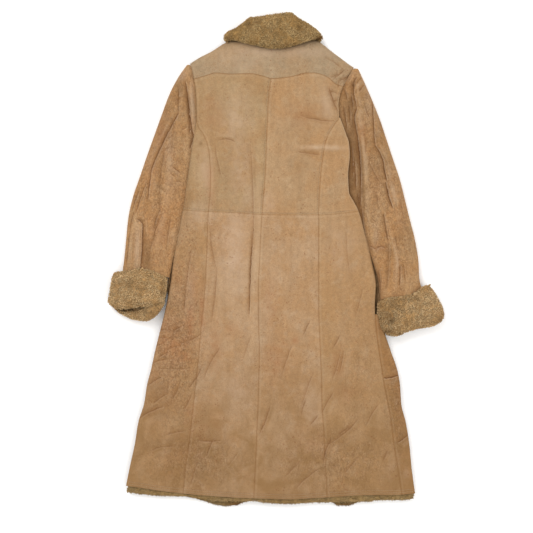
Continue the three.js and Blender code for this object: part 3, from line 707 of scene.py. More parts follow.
def build_light_and_wear_group():
    """Painted light on folds, with some rubbing and dirt: pale crests, dark troughs, and creases: a thin dark line
    with painted shade on one side and a painted highlight on the other.
    """
    tree, start, end = new_group(
        "suede_light_and_wear", [("Color", "Color"), ("Highlight_and_rub", "Color"), ("Shade_and_dirt", "Color")],
        [("Color", "Color"), ("Depth", "Float")])
    place = tree.nodes.new("ShaderNodeTexCoord").outputs["Object"]
    wear_and_painted_light = attribute(tree, "wear_and_painted_light")
    # Crests, seam edges and the body's edges are painted lighter, troughs, seams and recesses darker: painted light
    # and shade, with some rubbing and dirt.
    colour = blended(tree, ranged(tree, wear_and_painted_light, 0.2, 5.0, 0.0, 0.75), start.outputs["Color"],
                     start.outputs["Highlight_and_rub"])
    colour = blended(tree, ranged(tree, wear_and_painted_light, -0.2, -5.0, 0.0, 0.85), colour,
                     start.outputs["Shade_and_dirt"])
    uneven = sum_of(tree, "ADD", ranged(tree, noise(tree, place, 60.0, 2.0), 0.3, 0.7, -0.8, 0.8),
                    ranged(tree, noise(tree, place, 240.0, 2.0), 0.3, 0.7, -0.45, 0.45))
    away = sum_of(tree, "ADD", attribute(tree, "crease"), uneven)
    depth = sum_of(tree, "MULTIPLY", attribute(tree, "crease_depth"),
                   ranged(tree, noise(tree, place, 34.0, 2.0), 0.3, 0.6, 0.55, 1.05))
    line = ranged(tree, sum_of(tree, "ABSOLUTE", away, 0.0), 1.7, 0.4)
    shade = sum_of(tree, "MULTIPLY", ranged(tree, away, 8.0, 1.0), ranged(tree, away, -0.5, 0.5))
    lit = sum_of(tree, "MULTIPLY", ranged(tree, away, -5.5, -1.5), ranged(tree, away, -0.3, -1.5))
    # Painted shade beside each crease, a painted highlight on its other side, and its thin dark line, partly
    # painted shade.
    for part, tint, strength in ((shade, (0.21, 0.1, 0.037), 0.6),
                                 (lit, (0.49, 0.35, 0.228), 0.38),
                                 (line, (0.115, 0.045, 0.016), 0.85)):
        amount = sum_of(tree, "MULTIPLY", sum_of(tree, "MULTIPLY", part, depth), strength)
        colour = blended(tree, amount, colour, tint)
    tree.links.new(colour, end.inputs["Color"])
    tree.links.new(sum_of(tree, "MULTIPLY", line, depth), end.inputs["Depth"])
    return tree


def build_row_group():
    """The groove that a row of topstitching pulls into the suede, darkened with painted shade."""
    tree, start, end = new_group("stitch_groove", [("Color", "Color")],
                                 [("Color", "Color"), ("Depth", "Float")])
    lines = [ranged(tree, sum_of(tree, "ABSOLUTE", attribute(tree, f"row_{number}"), 0.0), 1.5, 0.2)
             for number in range(2)]
    groove = sum_of(tree, "MAXIMUM", *lines)
    colour = blended(tree, sum_of(tree, "MULTIPLY", groove, 0.18), start.outputs["Color"],
                     (0.2, 0.11, 0.05))
    tree.links.new(colour, end.inputs["Color"])
    tree.links.new(groove, end.inputs["Depth"])
    return tree


SUEDE_GROUPS = {"nap": build_nap_group(), "marks": build_marks_group(),
                "crackle": build_crackle_group(), "wear_and_painted_light": build_light_and_wear_group(), "groove": build_row_group()}


def suede(name, base, warm, pale, lit_and_rubbed=(0.482, 0.351, 0.228), soiled=(0.2, 0.088, 0.028)):
    """Sheepskin seen from its skin side, in the tones of one piece."""
    material = bpy.data.materials.new(name)
    material.use_nodes = True
    tree = material.node_tree
    shader = tree.nodes["Principled BSDF"]
    shader.inputs["Roughness"].default_value = 0.93
    shader.inputs["Specular IOR Level"].default_value = 0.08
    shader.inputs["Sheen Weight"].default_value = 0.05
    shader.inputs["Sheen Roughness"].default_value = 0.6
    shader.inputs["Sheen Tint"].default_value = (0.9, 0.72, 0.52, 1)
    groups = {}
    for label, group in SUEDE_GROUPS.items():
        groups[label] = tree.nodes.new("ShaderNodeGroup")
        groups[label].node_tree = group
    for socket, colour in (("Base", base), ("Warm", warm), ("Pale", pale)):
        groups["nap"].inputs[socket].default_value = (*colour, 1)
    # The colours of painted highlight and painted shade, which carry some rubbing and dirt too.
    groups["wear_and_painted_light"].inputs["Highlight_and_rub"].default_value = (*lit_and_rubbed, 1)
    groups["wear_and_painted_light"].inputs["Shade_and_dirt"].default_value = (*soiled, 1)
    tree.links.new(groups["nap"].outputs["Color"], groups["marks"].inputs["Color"])
    tree.links.new(groups["marks"].outputs["Color"], groups["crackle"].inputs["Color"])
    tree.links.new(groups["crackle"].outputs["Color"], groups["wear_and_painted_light"].inputs["Color"])
    tree.links.new(groups["wear_and_painted_light"].outputs["Color"], groups["groove"].inputs["Color"])
    tree.links.new(groups["groove"].outputs["Color"], shader.inputs["Base Color"])
    bump = tree.nodes.new("ShaderNodeBump")
    bump.inputs["Distance"].default_value = 0.0012
    bump.inputs["Strength"].default_value = 0.7
    height = sum_of(tree, "SUBTRACT", groups["nap"].outputs["Height"],
                    sum_of(tree, "MULTIPLY", groups["groove"].outputs["Depth"], 0.5))
    height = sum_of(tree, "SUBTRACT", height, groups["wear_and_painted_light"].outputs["Depth"])
    height = sum_of(tree, "SUBTRACT", height,
                    sum_of(tree, "MULTIPLY", groups["crackle"].outputs["Depth"], 0.6))
    tree.links.new(height, bump.inputs["Height"])
    tree.links.new(bump.outputs["Normal"], shader.inputs["Normal"])
    return material


def settle_piece(piece, material, nodes):
    """Gives a finished piece its material, hangs it from the root and hides the parts that it stands for."""
    piece.data.materials.append(material)
    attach(piece, "root")
    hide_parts(*nodes)


yoke_suede = suede("yoke_suede", (0.3, 0.214, 0.128), (0.316, 0.21, 0.116), (0.363, 0.266, 0.164))
# The yoke's lower seam gets a stronger line of painted shade (dark=4.5).
back_yoke, cut = lay_piece(
    "yoke", (shifted(left, SEAM), shifted(right, -SEAM)),
    (shifted(yoke_seam, SEAM), shifted(neck_line, -SEAM)), back_surface, seams="LRB",
    marks=BACK_MARKS, dark=4.5)
settle_piece(back_yoke, yoke_suede, ["back_yoke"])


# Upper back
# Two large pieces meet at the centre seam, and two narrow side pieces fill the curve
# below the armholes. All hang from the yoke and end at the waist seam.
WAIST_SEAM = ((-224, 120), (-158, 116), (-96, 113), (-34, 109), (34, 108), (101, 108),
              (166, 113), (202, 118))
LEFT_SEAM_END = 0.715           # where the curved seams reach the armholes
RIGHT_SEAM_END = 0.75
waist_seam = line_through(WAIST_SEAM)
upper_cross = (shifted(waist_seam, SEAM), shifted(yoke_seam, -SEAM))

upper_left_suede = suede("upper_left_suede", (0.321, 0.209, 0.107), (0.305, 0.182, 0.0846),
                         (0.358, 0.25, 0.142))
upper_right_suede = suede("upper_right_suede", (0.349, 0.222, 0.117), (0.341, 0.2, 0.0949),
                          (0.386, 0.266, 0.153))
UPPER_PIECES = (
    # name, node, side lines, end, seams, topstitching, material, what it lies on
    ("upper_back_left", "back_upper_left", (left_seam, centre), 1.0, "LRBT",
     (("R", 3.6), ("B", 4.0)), upper_left_suede, "front_upper_left"),
    ("upper_back_right", "back_upper_right", (centre, right_seam), 1.0, "LRBT",
     (("R", 3.6), ("B", 4.0)), upper_right_suede, "front_upper_right"),
    ("upper_side_left", "side_back_upper_left", (left, left_seam), LEFT_SEAM_END, "RB",
     (("B", 4.0),), upper_left_suede, "front_upper_left"),
    ("upper_side_right", "side_back_upper_right", (right_seam, right), RIGHT_SEAM_END, "LB",
     (("B", 4.0),), upper_right_suede, "front_upper_right"),
)
for name, node, lines, end, seams, sewn, material, lies_on in UPPER_PIECES:
    piece, cut = lay_piece(
        name, (shifted(lines[0], SEAM), shifted(lines[1], -SEAM)), upper_cross, back_surface,
        end=end, seams=seams, sewn=sewn, marks=BACK_MARKS)
    settle_piece(piece, material, [node])


# Skirt of the back
# Four flared pieces hang from the waist seam, and past the right side seam the front
# skirt turns round into view. Two rows of topstitching hold the hem.
SIDE_SEAM_END = 14 / 22
skirt_cross = (shifted(hem_line, SEAM), shifted(waist_seam, -SEAM))
skirt_suede = suede("skirt_suede", (0.356, 0.227, 0.126), (0.34, 0.201, 0.0989),
                    (0.4, 0.276, 0.172))
skirt_side_suede = suede("skirt_side_suede", (0.335, 0.206, 0.105), (0.323, 0.188, 0.0865),
                         (0.371, 0.248, 0.14))
# The turned strip is darker than the fronts' own suede: painted shade where the skirt turns away.
turned_suede_in_shade = suede("turned_suede_in_shade", (0.263, 0.145, 0.061), (0.272, 0.14, 0.054),
                     (0.316, 0.189, 0.092))
HEM_ROWS = (("B", 6.0), ("B", 11.5))
SKIRT_PIECES = (
    ("skirt_left", "skirt_back_left", (left_seam, centre), 1.0, "LRT", skirt_suede,
     "front_skirt_left"),
    ("skirt_right", "skirt_back_right", (centre, right_seam), 1.0, "LRT", skirt_suede,
     "front_skirt_right"),
    ("skirt_far_left", "skirt_side_left", (left, left_seam), 1.0, "RT", skirt_side_suede,
     "front_skirt_left"),
    ("skirt_far_right", "skirt_side_right", (right_seam, side), 1.0, "LRT", skirt_side_suede,
     "front_skirt_right"),
    ("skirt_turned", "skirt_front_turned", (side, right), SIDE_SEAM_END, "L", turned_suede_in_shade,
     "front_skirt_right"),
)
for name, node, lines, end, seams, material, lies_on in SKIRT_PIECES:
    piece, cut = lay_piece(
        name, (shifted(lines[0], SEAM), shifted(lines[1], -SEAM)), skirt_cross, back_surface,
        end=end, seams=seams, sewn=HEM_ROWS, marks=BACK_MARKS)
    settle_piece(piece, material, [node])


# Fronts
# The coat lies on its two plain fronts, each an upper piece and a skirt. The left front
# climbs over the edge of the right one where they lap in the middle.
UNDER_ROUND = 10.0
LAP_LAYER = 8.0
FRONT_INSET = 1.2
FRONT_HEM = ((-366, -548), (-326, -557), (-218, -570), (-196, -575), (-170, -583), (-146, -590),
             (-122, -594), (-98, -592), (-74, -584), (-55, -579), (34, -582), (106, -580), (134, -583), (149, -593),
             (166, -593), (190, -588), (210, -578), (336, -570))
front_hem = line_through(FRONT_HEM)
HEM_REACH = 7.0                # how far the wool stands out past the front's skin
FRONT_BULGE = 6.5              # the fronts' edges come out from under the back by the cuffs


def front_floor(x, y):
    inside = rounded(np.minimum(x - left(y), right(y) - x), UNDER_ROUND)
    return (LAYER - RIM) * (1 - inside) * free_of_sleeve(y)


def plain(height):
    """A surface with no folds, no rubbing and no painted light of its own."""
    none = np.zeros_like(height)
    return height, none, none + 40.0, none


def left_front(x, y):
    climb = np.clip((x - LAP["outer_left"]) / (LAP["left"] - LAP["outer_left"]), 0, 1)
    return plain(np.maximum(front_floor(x, y), smooth(climb, 0, 1) * (LAP_LAYER + REST)))


def right_front(x, y):
    return plain(front_floor(x, y))


def front_edge_beyond(y, end):
    return FRONT_INSET - FRONT_BULGE * smooth(y, end - 8, end + 8) * (1 - smooth(y, 10, 50))


front_suede = suede("front_suede", (0.377, 0.232, 0.118), (0.368, 0.219, 0.105), (0.412, 0.272, 0.149))
FRONT_WALL = 2.4
# Painted shade on the fronts' edges where they show in the slits between the body and the cuffs.
FRONT_SLIT_SHADE = {"soil": ((246, -60, 14, 70, 1.3), (-258, -80, 12, 50, 1.3))}
for band, cross in (("upper", (waist_seam, neck_line)),
                    ("skirt", (shifted(front_hem, HEM_REACH), waist_seam))):
    for hand, lines, surface in (
            ("left", (lambda y: left(y) + front_edge_beyond(y, -82), constant(LAP["right"])), left_front),
            ("right", (constant(LAP["left"]), lambda y: right(y) - front_edge_beyond(y, -104)),
             right_front)):
        piece, cut = lay_piece(
            f"{band}_front_{hand}", lines, (shifted(cross[0], SEAM), shifted(cross[1], -SEAM)),
            surface, marks=FRONT_SLIT_SHADE, facing_down=True,
            wall=FRONT_WALL, step=8.0)
        settle_piece(piece, front_suede, [f"front_{band}_{hand}"])


# Sleeves
# Each sleeve is a top piece on an under piece, sewn into the armhole. They lie beside the
# body, with long folds where the arm bent, and run into the turned-back cuffs.
SLEEVE_LAYER = 13.0
SLEEVE_RISE = 19.0
SLEEVE_ROUND = 32.0
INNER_PART = 0.3
CUFF_GAP = 0.7
ARMHOLE_WALL = 0.42             # the sleeve is sewn in level with the back
SLEEVE_LEFT = ((470, -213), (440, -234), (400, -255), (350, -274), (300, -292), (250, -310),
               (200, -327), (150, -344), (100, -355), (50, -360), (0, -365), (-30, -369))
SLEEVE_RIGHT = ((460, 197), (434, 209), (391, 228), (336, 250), (288, 266), (240, 282),
                (192, 298), (144, 310), (96, 322), (48, 334), (0, 342), (-48, 345), (-72, 352))
CUFF_TOP_LEFT = ((-398, -34), (-380, -29), (-350, -26), (-324, -21), (-300, -26), (-275, -36),
                 (-258, -43))
CUFF_TOP_RIGHT = ((238, -104), (250, -98), (262, -92), (285, -89), (310, -86), (335, -77),
                  (350, -66), (364, -58))
SHELF_LINE = ((456, 193), (430, 188), (400, 184), (360, 187), (331, 189), (288, 197), (264, 202),
              (216, 207), (168, 210), (120, 212), (72, 224), (0, 246), (-98, 262))
SHELF_FADE = ((430, 1), (395, 0.6), (350, 0.38), (150, 0.38), (80, 0.8), (20, 1))
SHELF_STEP = 5.0
SLEEVE_FOLDS_LEFT = (
    (-198, 294, -216, 424, 1, 4, -4.0, 1.0),
    (-206, 268, -198, 294, 0, 4, -3.0, 0.8),
    (-206, 300, -212, 400, 0, 4, -2.0, 0.7),
    (-233, 352, -232, 412, 1, 3, -1.5, 0.6),
    (-299, 214, -234, 350, 3, 4, -2.5, 0.9),
    (-306, 146, -298, 216, 1, 4, -2.0, 0.8),
    (-310, 214, -246, 345, 3, 5, 1.5, 0),
    (-277, 168, -266, 264, 3, 7, -3.0, 0.4),
    (-278, 120, -278, 192, 0, 7, -3.0, 0.45),
    (-293, 78, -277, 122, 1, 5, -2.5, 0.6),
    (-298, 40, -276, 104, 1, 4, -1.5, 0.5),
    (-303, 22, -286, 62, 1, 4, -1.0, 0.4),
    (-248, 224, -229, 208, 0, 3, -1.0, 0.6),
    (-241, 189, -223, 186, 0, 3, -0.8, 0.5),
    (-252, 206, -240, 198, 0, 3, -0.8, 0.4),
    (-336, 112, -312, 182, 1, 4, -2.0, 0.55),
    (-345, 118, -326, 170, 1, 3, -1.5, 0.45),
    (-350, 70, -341, 114, 0, 3, -1.5, 0.5),
    (-359, -18, -350, 70, 0, 3, -1.5, 0.5),
    (-332, 98, -319, 88, 1, 4, -3.0, 0.8),
    (-319, 88, -325, -24, 2, 4, -4.0, 1.0),
    (-340, 70, -346, -20, 0, 3, -0.8, 0.3),
    (-311, 50, -312, -26, 0, 8, -3.0, 0),
    (-284, -20, -262, 170, -3, 14, 1.2, 0),
    (-246, 140, -232, 300, -3, 12, 1.2, 0),
    (-262, 20, -250, 110, 2, 5, -1.5, 0.35),
    (-250, 250, -240, 330, 2, 5, -1.2, 0.3),
    (-222, 40, -214, 130, 1, 5, -1.2, 0.3),
    (-244, -30, -236, 30, 1, 5, -1.5, 0.4),
    (-258, 290, -246, 300, 0, 3, -0.6, 0.4),
    (-268, 262, -254, 270, 0, 3, -0.6, 0.4),
    (-244, 380, -226, 388, 0, 3, -0.6, 0.35),
    (-226, 312, -212, 318, 0, 3, -0.6, 0.4),
    (-286, 180, -262, 160, 0, 3, -0.8, 0.4),
)
SLEEVE_FOLDS_RIGHT = (
    (203, 171, 192, 310, -3.5, 5, -5.0, 1.0),
    (202, 127, 203, 171, 0, 6, -5.0, 0.7),
    (192, 310, 187, 341, 0, 5, -5.0, 0.9),
    (187, 341, 193, 365, 0, 4, -4.0, 0.8),
    (193, 365, 187, 392, 0, 4, -3.5, 0.8),
    (187, 392, 184, 424, 0, 4, -3.5, 0.8),
    (212, 180, 204, 300, -3, 6, 1.2, 0),
    (214, 50, 205, 128, 2, 5, -3.5, 0.6),
    (229, -24, 215, 50, 2, 6, -4.0, 0.45),
    (236, 276, 231, 380, 0, 4, -2.5, 0.8),
    (257, 232, 236, 276, -3, 4, -3.0, 0.9),
    (264, 192, 257, 234, 1, 4, -4.0, 0.95),
    (278, 126, 263, 184, 1, 5, -4.5, 1.0),
    (286, 136, 272, 196, 0, 6, 1.0, 0),
    (250, 184, 222, 234, 1, 5, -2.0, 0.35),
    (246, 122, 240, 160, 0, 5, -1.5, 0.3),
    (272, 62, 258, 138, 1, 2, 0.7, 0),
    (297, -45, 272, 62, -3, 2, 0.8, 0),
    (268, 48, 258, 112, 1, 4, -3.0, 0.8),
    (265, -70, 270, 48, -2, 8, -4.5, 0.35),
    (296, -60, 297, -14, 0, 3, -2.0, 0.8),
    (310, -55, 305, -7, 0, 4, -1.5, 0.4),
    (154, 454, 175, 466, 2, 4, -2.5, 0.5),
    (187, 413, 194, 439, 3, 4, -3.5, 0.6),
    (194, 422, 205, 437, 1, 4, -2.5, 0.5),
    (198, 404, 212, 420, 0, 3, -1.5, 0.5),
    (226, 33, 240, 26, 0, 2, -0.6, 0.5),
    (238, 26, 252, 34, 0, 2, -0.6, 0.6),
    (250, 34, 262, 28, 0, 2, -0.6, 0.5),
    (184, 362, 180, 394, 0, 3, -2.0, 0.6),
    (178, 330, 175, 374, 0, 3, -2.0, 0.5),
    (170, 312, 162, 372, 0, 3, -2.0, 0.5),
    (170, 384, 164, 412, 0, 3, -2.0, 0.5),
    (192, 170, 189, 236, 0, 3, -2.0, 0.7),
    (184, 200, 182, 272, 0, 3, -2.0, 0.6),
    (200, 122, 196, 160, 0, 3, -3.0, 0.7),
    (212, 300, 214, 250, 0, 4, -1.0, 0.3),
    (224, 190, 220, 300, 0, 9, 1.2, 0),
    (250, 60, 244, 150, 0, 8, 1.0, 0),
    (330, -30, 318, 70, 0, 10, 1.2, 0),
    (300, 60, 276, 190, -2, 10, 1.2, 0),
    (284, 60, 292, 20, 0, 3, -1.0, 0.35),
    (306, 96, 298, 140, 0, 4, -1.2, 0.35),
    (262, 300, 246, 350, 0, 4, -1.2, 0.35),
    (212, 372, 222, 340, 0, 4, -1.2, 0.35),
    (238, 90, 226, 104, 0, 3, -0.8, 0.35),
    (250, -70, 246, -20, 0, 5, -2.0, 0.4),
)
SLEEVE_MARKS = {
    "rust": (
        (-278, 60, 34, 60, 0.5), (246, 30, 18, 8, 0.9), (-276, 300, 16, 54, 0.8), (206, 312, 14, 30, 0.6),
        (278, 168, 16, 50, 0.4), (-250, 168, 24, 60, 0.3), (238, -60, 20, 30, 0.5),
        (240, 180, 16, 60, 0.4), (-300, 220, 16, 50, 0.6),
        (300, 120, 14, 60, 0.4),
    ),
    "pale": (
        (-332, 36, 10, 60, 0.4), (-228, 444, 14, 16, 0.6), (166, 444, 20, 14, 0.5),
        (290, -12, 5, 40, 0.35), (-254, 264, 10, 60, 0.4), (240, 60, 8, 40, 0.3),
        (-202, 370, 6, 60, 0.6), (222, 380, 10, 40, 0.5), (-212, 60, 8, 60, 0.3),
    ),
    "soil": (
        (240, 260, 44, 130, 0.52), (-256, 330, 46, 120, 0.42), (-230, 408, 24, 36, 0.65),
        # (178, 228) and (176, 370) lie in the right sleeve's recess beside the body: painted shade.
        (208, 380, 24, 50, 0.6), (246, 36, 24, 26, 0.35), (310, 48, 20, 70, 0.5), (178, 228, 16, 90, 1.2), (-202, 360, 10, 40, 0.5),
        (-355, 144, 12, 40, 0.2), (-308, 0, 12, 40, 0.7), (250, 360, 14, 30, 0.2),
        (176, 370, 12, 40, 0.7), (-232, 380, 16, 30, 0.3),
    ),
    "worn": ((-290, 200, 300, 600, 0.85), (270, 200, 300, 600, 0.85)),
    "specks": (
        (214, 305, 16, 30, 1.0), (281, -43, 30, 40, 0.9), (-278, 108, 30, 50, 0.8),
        (-242, 240, 30, 40, 0.5), (300, 40, 26, 50, 0.6), (246, 330, 18, 30, 0.6),
    ),
}


def build_sleeve(hand, sign, outer, body, cuff_top, folds, shoulder, gap, shadow, soil,
                 shelf, fade):
    gap_at = line_through(gap)
    cuff_edge = line_through(cuff_top)

    def inner(y):
        return body(y) + sign * gap_at(y)

    def fullness(x, y, radius):
        inwards = sign * (x - inner(y))
        beside = rounded(inwards, radius * INNER_PART)
        sewn_in = mix(ARMHOLE_WALL, 1, smooth(inwards, -3, radius * INNER_PART))
        along = mix(beside, sewn_in, smooth(y, *LEAVES_SLEEVE))
        return along * rounded(sign * (outer(y) - x), radius)

    def top_surface(x, y):
        full = fullness(x, y, SLEEVE_ROUND)
        sunk = mix(fade(y), 1, smooth(x, shelf(y) - SHELF_STEP, shelf(y) + SHELF_STEP))
        height, painted_light_and_wear, crease, depth = folds_at(folds, x, y)
        full = full * sunk
        rise = RIM + (SLEEVE_RISE - RIM) * full + (height + undulation(x, y)) * full
        by_body = np.exp(-((x - inner(y)) / shadow) ** 2) * (0.25 + 0.75 * free_of_sleeve(y))
        # Painted shade: the right sleeve's sunk recess and a strip beside the body's edge are darkened, and folds
        # shaded more strongly.
        painted_light_and_wear = 1.2 * painted_light_and_wear - 3.8 * (1 - sunk) - soil * by_body
        return SLEEVE_LAYER + REST + np.maximum(RIM, rise), painted_light_and_wear, crease, depth

    def under_surface(x, y):
        return plain((SLEEVE_LAYER - RIM) * (1 - fullness(x, y, UNDER_ROUND)))

    sides = (outer, inner) if sign < 0 else (inner, outer)
    cross = (shifted(cuff_edge, CUFF_GAP), constant(shoulder))
    piece, cut = lay_piece(
        f"sleeve_top_{hand}", sides, cross, top_surface, marks=SLEEVE_MARKS)
    settle_piece(piece, sleeve_suede, [f"top_sleeve_{hand}"])
    piece, cut = lay_piece(f"sleeve_under_{hand}", sides, cross, under_surface,
                           facing_down=True, wall=FRONT_WALL, step=8.0)
    settle_piece(piece, sleeve_suede, [f"under_sleeve_{hand}"])


# The sleeves' darker second colour paints the shade in their recesses and beside the body.
sleeve_suede = suede("sleeve_suede", (0.368, 0.219, 0.103), (0.355, 0.19, 0.0784),
                     (0.414, 0.272, 0.146), soiled=(0.129, 0.061, 0.022))
build_sleeve("left", -1, line_through(SLEEVE_LEFT), left, CUFF_TOP_LEFT, SLEEVE_FOLDS_LEFT, 468,
             ((-60, 2.6), (-20, 1.6), (30, 0.15)), 2.6, 1.8, constant(-1000.0), constant(1.0))
build_sleeve("right", 1, line_through(SLEEVE_RIGHT), right, CUFF_TOP_RIGHT, SLEEVE_FOLDS_RIGHT,
             459, ((-100, 4.5), (-30, 3.2), (30, 0.15)), 9.0, 2.2, line_through(SHELF_LINE),
             line_through(SHELF_FADE))


# Collar
# A stand rises from the neck line, and the wide fall is folded back over it. Both are
# sheepskin with the wool outside: a dense pile of short curled locks.
COLLAR_STAND = 27.0
COLLAR_FALL = 31.0
COLLAR_ROUND = 26.0
COLLAR_EDGE = 0.2
COLLAR_LEFT, COLLAR_RIGHT = -127.0, 113.0
NECK_GAP = 1.6
PILE = 4.0                     # the locks stand this far out of the wool's body
WOOL_WALL = 14.0
FALL_EDGE = ((-127, 524), (-106, 526), (-74, 519), (-50, 514), (-31, 510), (-14, 506), (10, 506),
             (29, 509), (58, 518), (82, 526), (98, 530), (113, 525))
COLLAR_TOP = ((-127, 529), (-120, 543), (-110, 550), (-98, 555), (-77, 569), (-60, 582),
              (-48, 583), (-14, 588), (10, 591), (29, 593), (38, 592), (48, 583), (72, 569),
              (96, 552), (107, 541), (113, 530))
fall_edge, collar_top = line_through(FALL_EDGE), line_through(COLLAR_TOP)


def lumps(x, y):
    """Clumps of wool on its body, 10 to 25 mm across."""
    total = np.zeros_like(x)
    for wave_x, wave_y, phase in WAVES:
        total += np.sin(x * (wave_x + 0.4) * 0.38 + y * wave_y * 0.42 + phase * 9)
    return total / len(WAVES) * 4.0


def collar_round(x, y, radius):
    ends = rounded(np.minimum(x - COLLAR_LEFT, COLLAR_RIGHT - x), radius)
    return rounded(collar_top(x) - y, radius) * mix(COLLAR_EDGE, 1, ends)


def fall_surface(x, y):
    edge = mix(COLLAR_EDGE, 1, rounded(y - fall_edge(x), COLLAR_ROUND))
    rise = RIM + (COLLAR_FALL - RIM) * edge * collar_round(x, y, COLLAR_ROUND)
    return COLLAR_STAND + REST + np.maximum(1.0, rise - PILE + lumps(x, y) * 0.6)


def stand_surface(x, y):
    return (COLLAR_STAND - RIM) * (1 - collar_round(x, y, COLLAR_ROUND))


def wool_body(name, sides, cross, upper, lower, step=4.0):
    """A thick piece of wool with its own upper and lower surface, closed all round."""
    piece, cut = lay_piece(name, sides, cross, lambda x, y: plain(upper(x, y)),
                           wall=1.0, step=step)
    mesh = piece.data
    count = len(mesh.vertices) // 2
    points = np.empty(len(mesh.vertices) * 3)
    mesh.vertices.foreach_get("co", points)
    points = points.reshape(-1, 3)
    x, y = points[:count, 0] / MM, points[:count, 1] / MM
    points[count:, :2] = points[:count, :2]
    points[count:, 2] = np.minimum(lower(x, y) * MM, points[:count, 2] - MM)
    mesh.vertices.foreach_set("co", points.ravel())
    mesh.update()
    return piece, cut


def make_lock(seed):
    """One curled lock of wool: a thin tapering tube that bends over and twists."""
    rng = np.random.default_rng(seed)
    bpy.ops.object.select_all(action="DESELECT")
    bpy.ops.mesh.primitive_grid_add(x_subdivisions=LOCK_SIDES, y_subdivisions=LOCK_RINGS, size=1)
    lock = bpy.context.object
    turn, lean, sway = rng.uniform(2.2, 4.2), rng.uniform(0.5, 1.0), rng.uniform(-1, 1)
    for vertex in lock.data.vertices:
        angle = (vertex.co.x + 0.5) * 2 * math.pi
        t = vertex.co.y + 0.5
        radius = LOCK_RADIUS * (0.85 + 0.3 * t) * (1 - t**3)
        bend = t * t * lean
        middle = (
            LOCK_LENGTH * (0.62 * bend + 0.16 * math.sin(turn * t * 2)),
            LOCK_LENGTH * (0.22 * math.sin(turn * t) * t + 0.12 * sway * t),
            LOCK_LENGTH * (t - 0.38 * bend))
        vertex.co = (middle[0] + radius * math.cos(angle), middle[1] + radius * math.sin(angle),
                     middle[2])
    bpy.ops.object.mode_set(mode="EDIT")
    bpy.ops.mesh.select_all(action="SELECT")
    bpy.ops.mesh.remove_doubles(threshold=1e-6)
    bpy.ops.mesh.fill_holes(sides=LOCK_SIDES)
    bpy.ops.mesh.normals_make_consistent(inside=False)
    bpy.ops.object.mode_set(mode="OBJECT")
    points = np.array([vertex.co[:] for vertex in lock.data.vertices])
    faces = [list(face.vertices) for face in lock.data.polygons]
    bpy.data.objects.remove(lock)
    return points, faces


LOCK_SIDES = 3
LOCK_RINGS = 3
LOCK_LENGTH = 6.0 * MM
LOCK_RADIUS = 1.25 * MM
LOCKS = [make_lock(seed) for seed in range(6)]


def whorl(x, y):
    """The direction that the wool at a point leans in, which turns slowly across the fleece."""
    return 1.3 * (math.sin(0.13 * x + 0.07 * y + 1) + math.sin(0.16 * y - 0.09 * x + 2))


def set_looks(mesh, **looks):
    """Gives each point of a mesh the values that its material reads."""
    for label, values in looks.items():
        mesh.attributes.new(label, "FLOAT", "POINT").data.foreach_set("value", values)


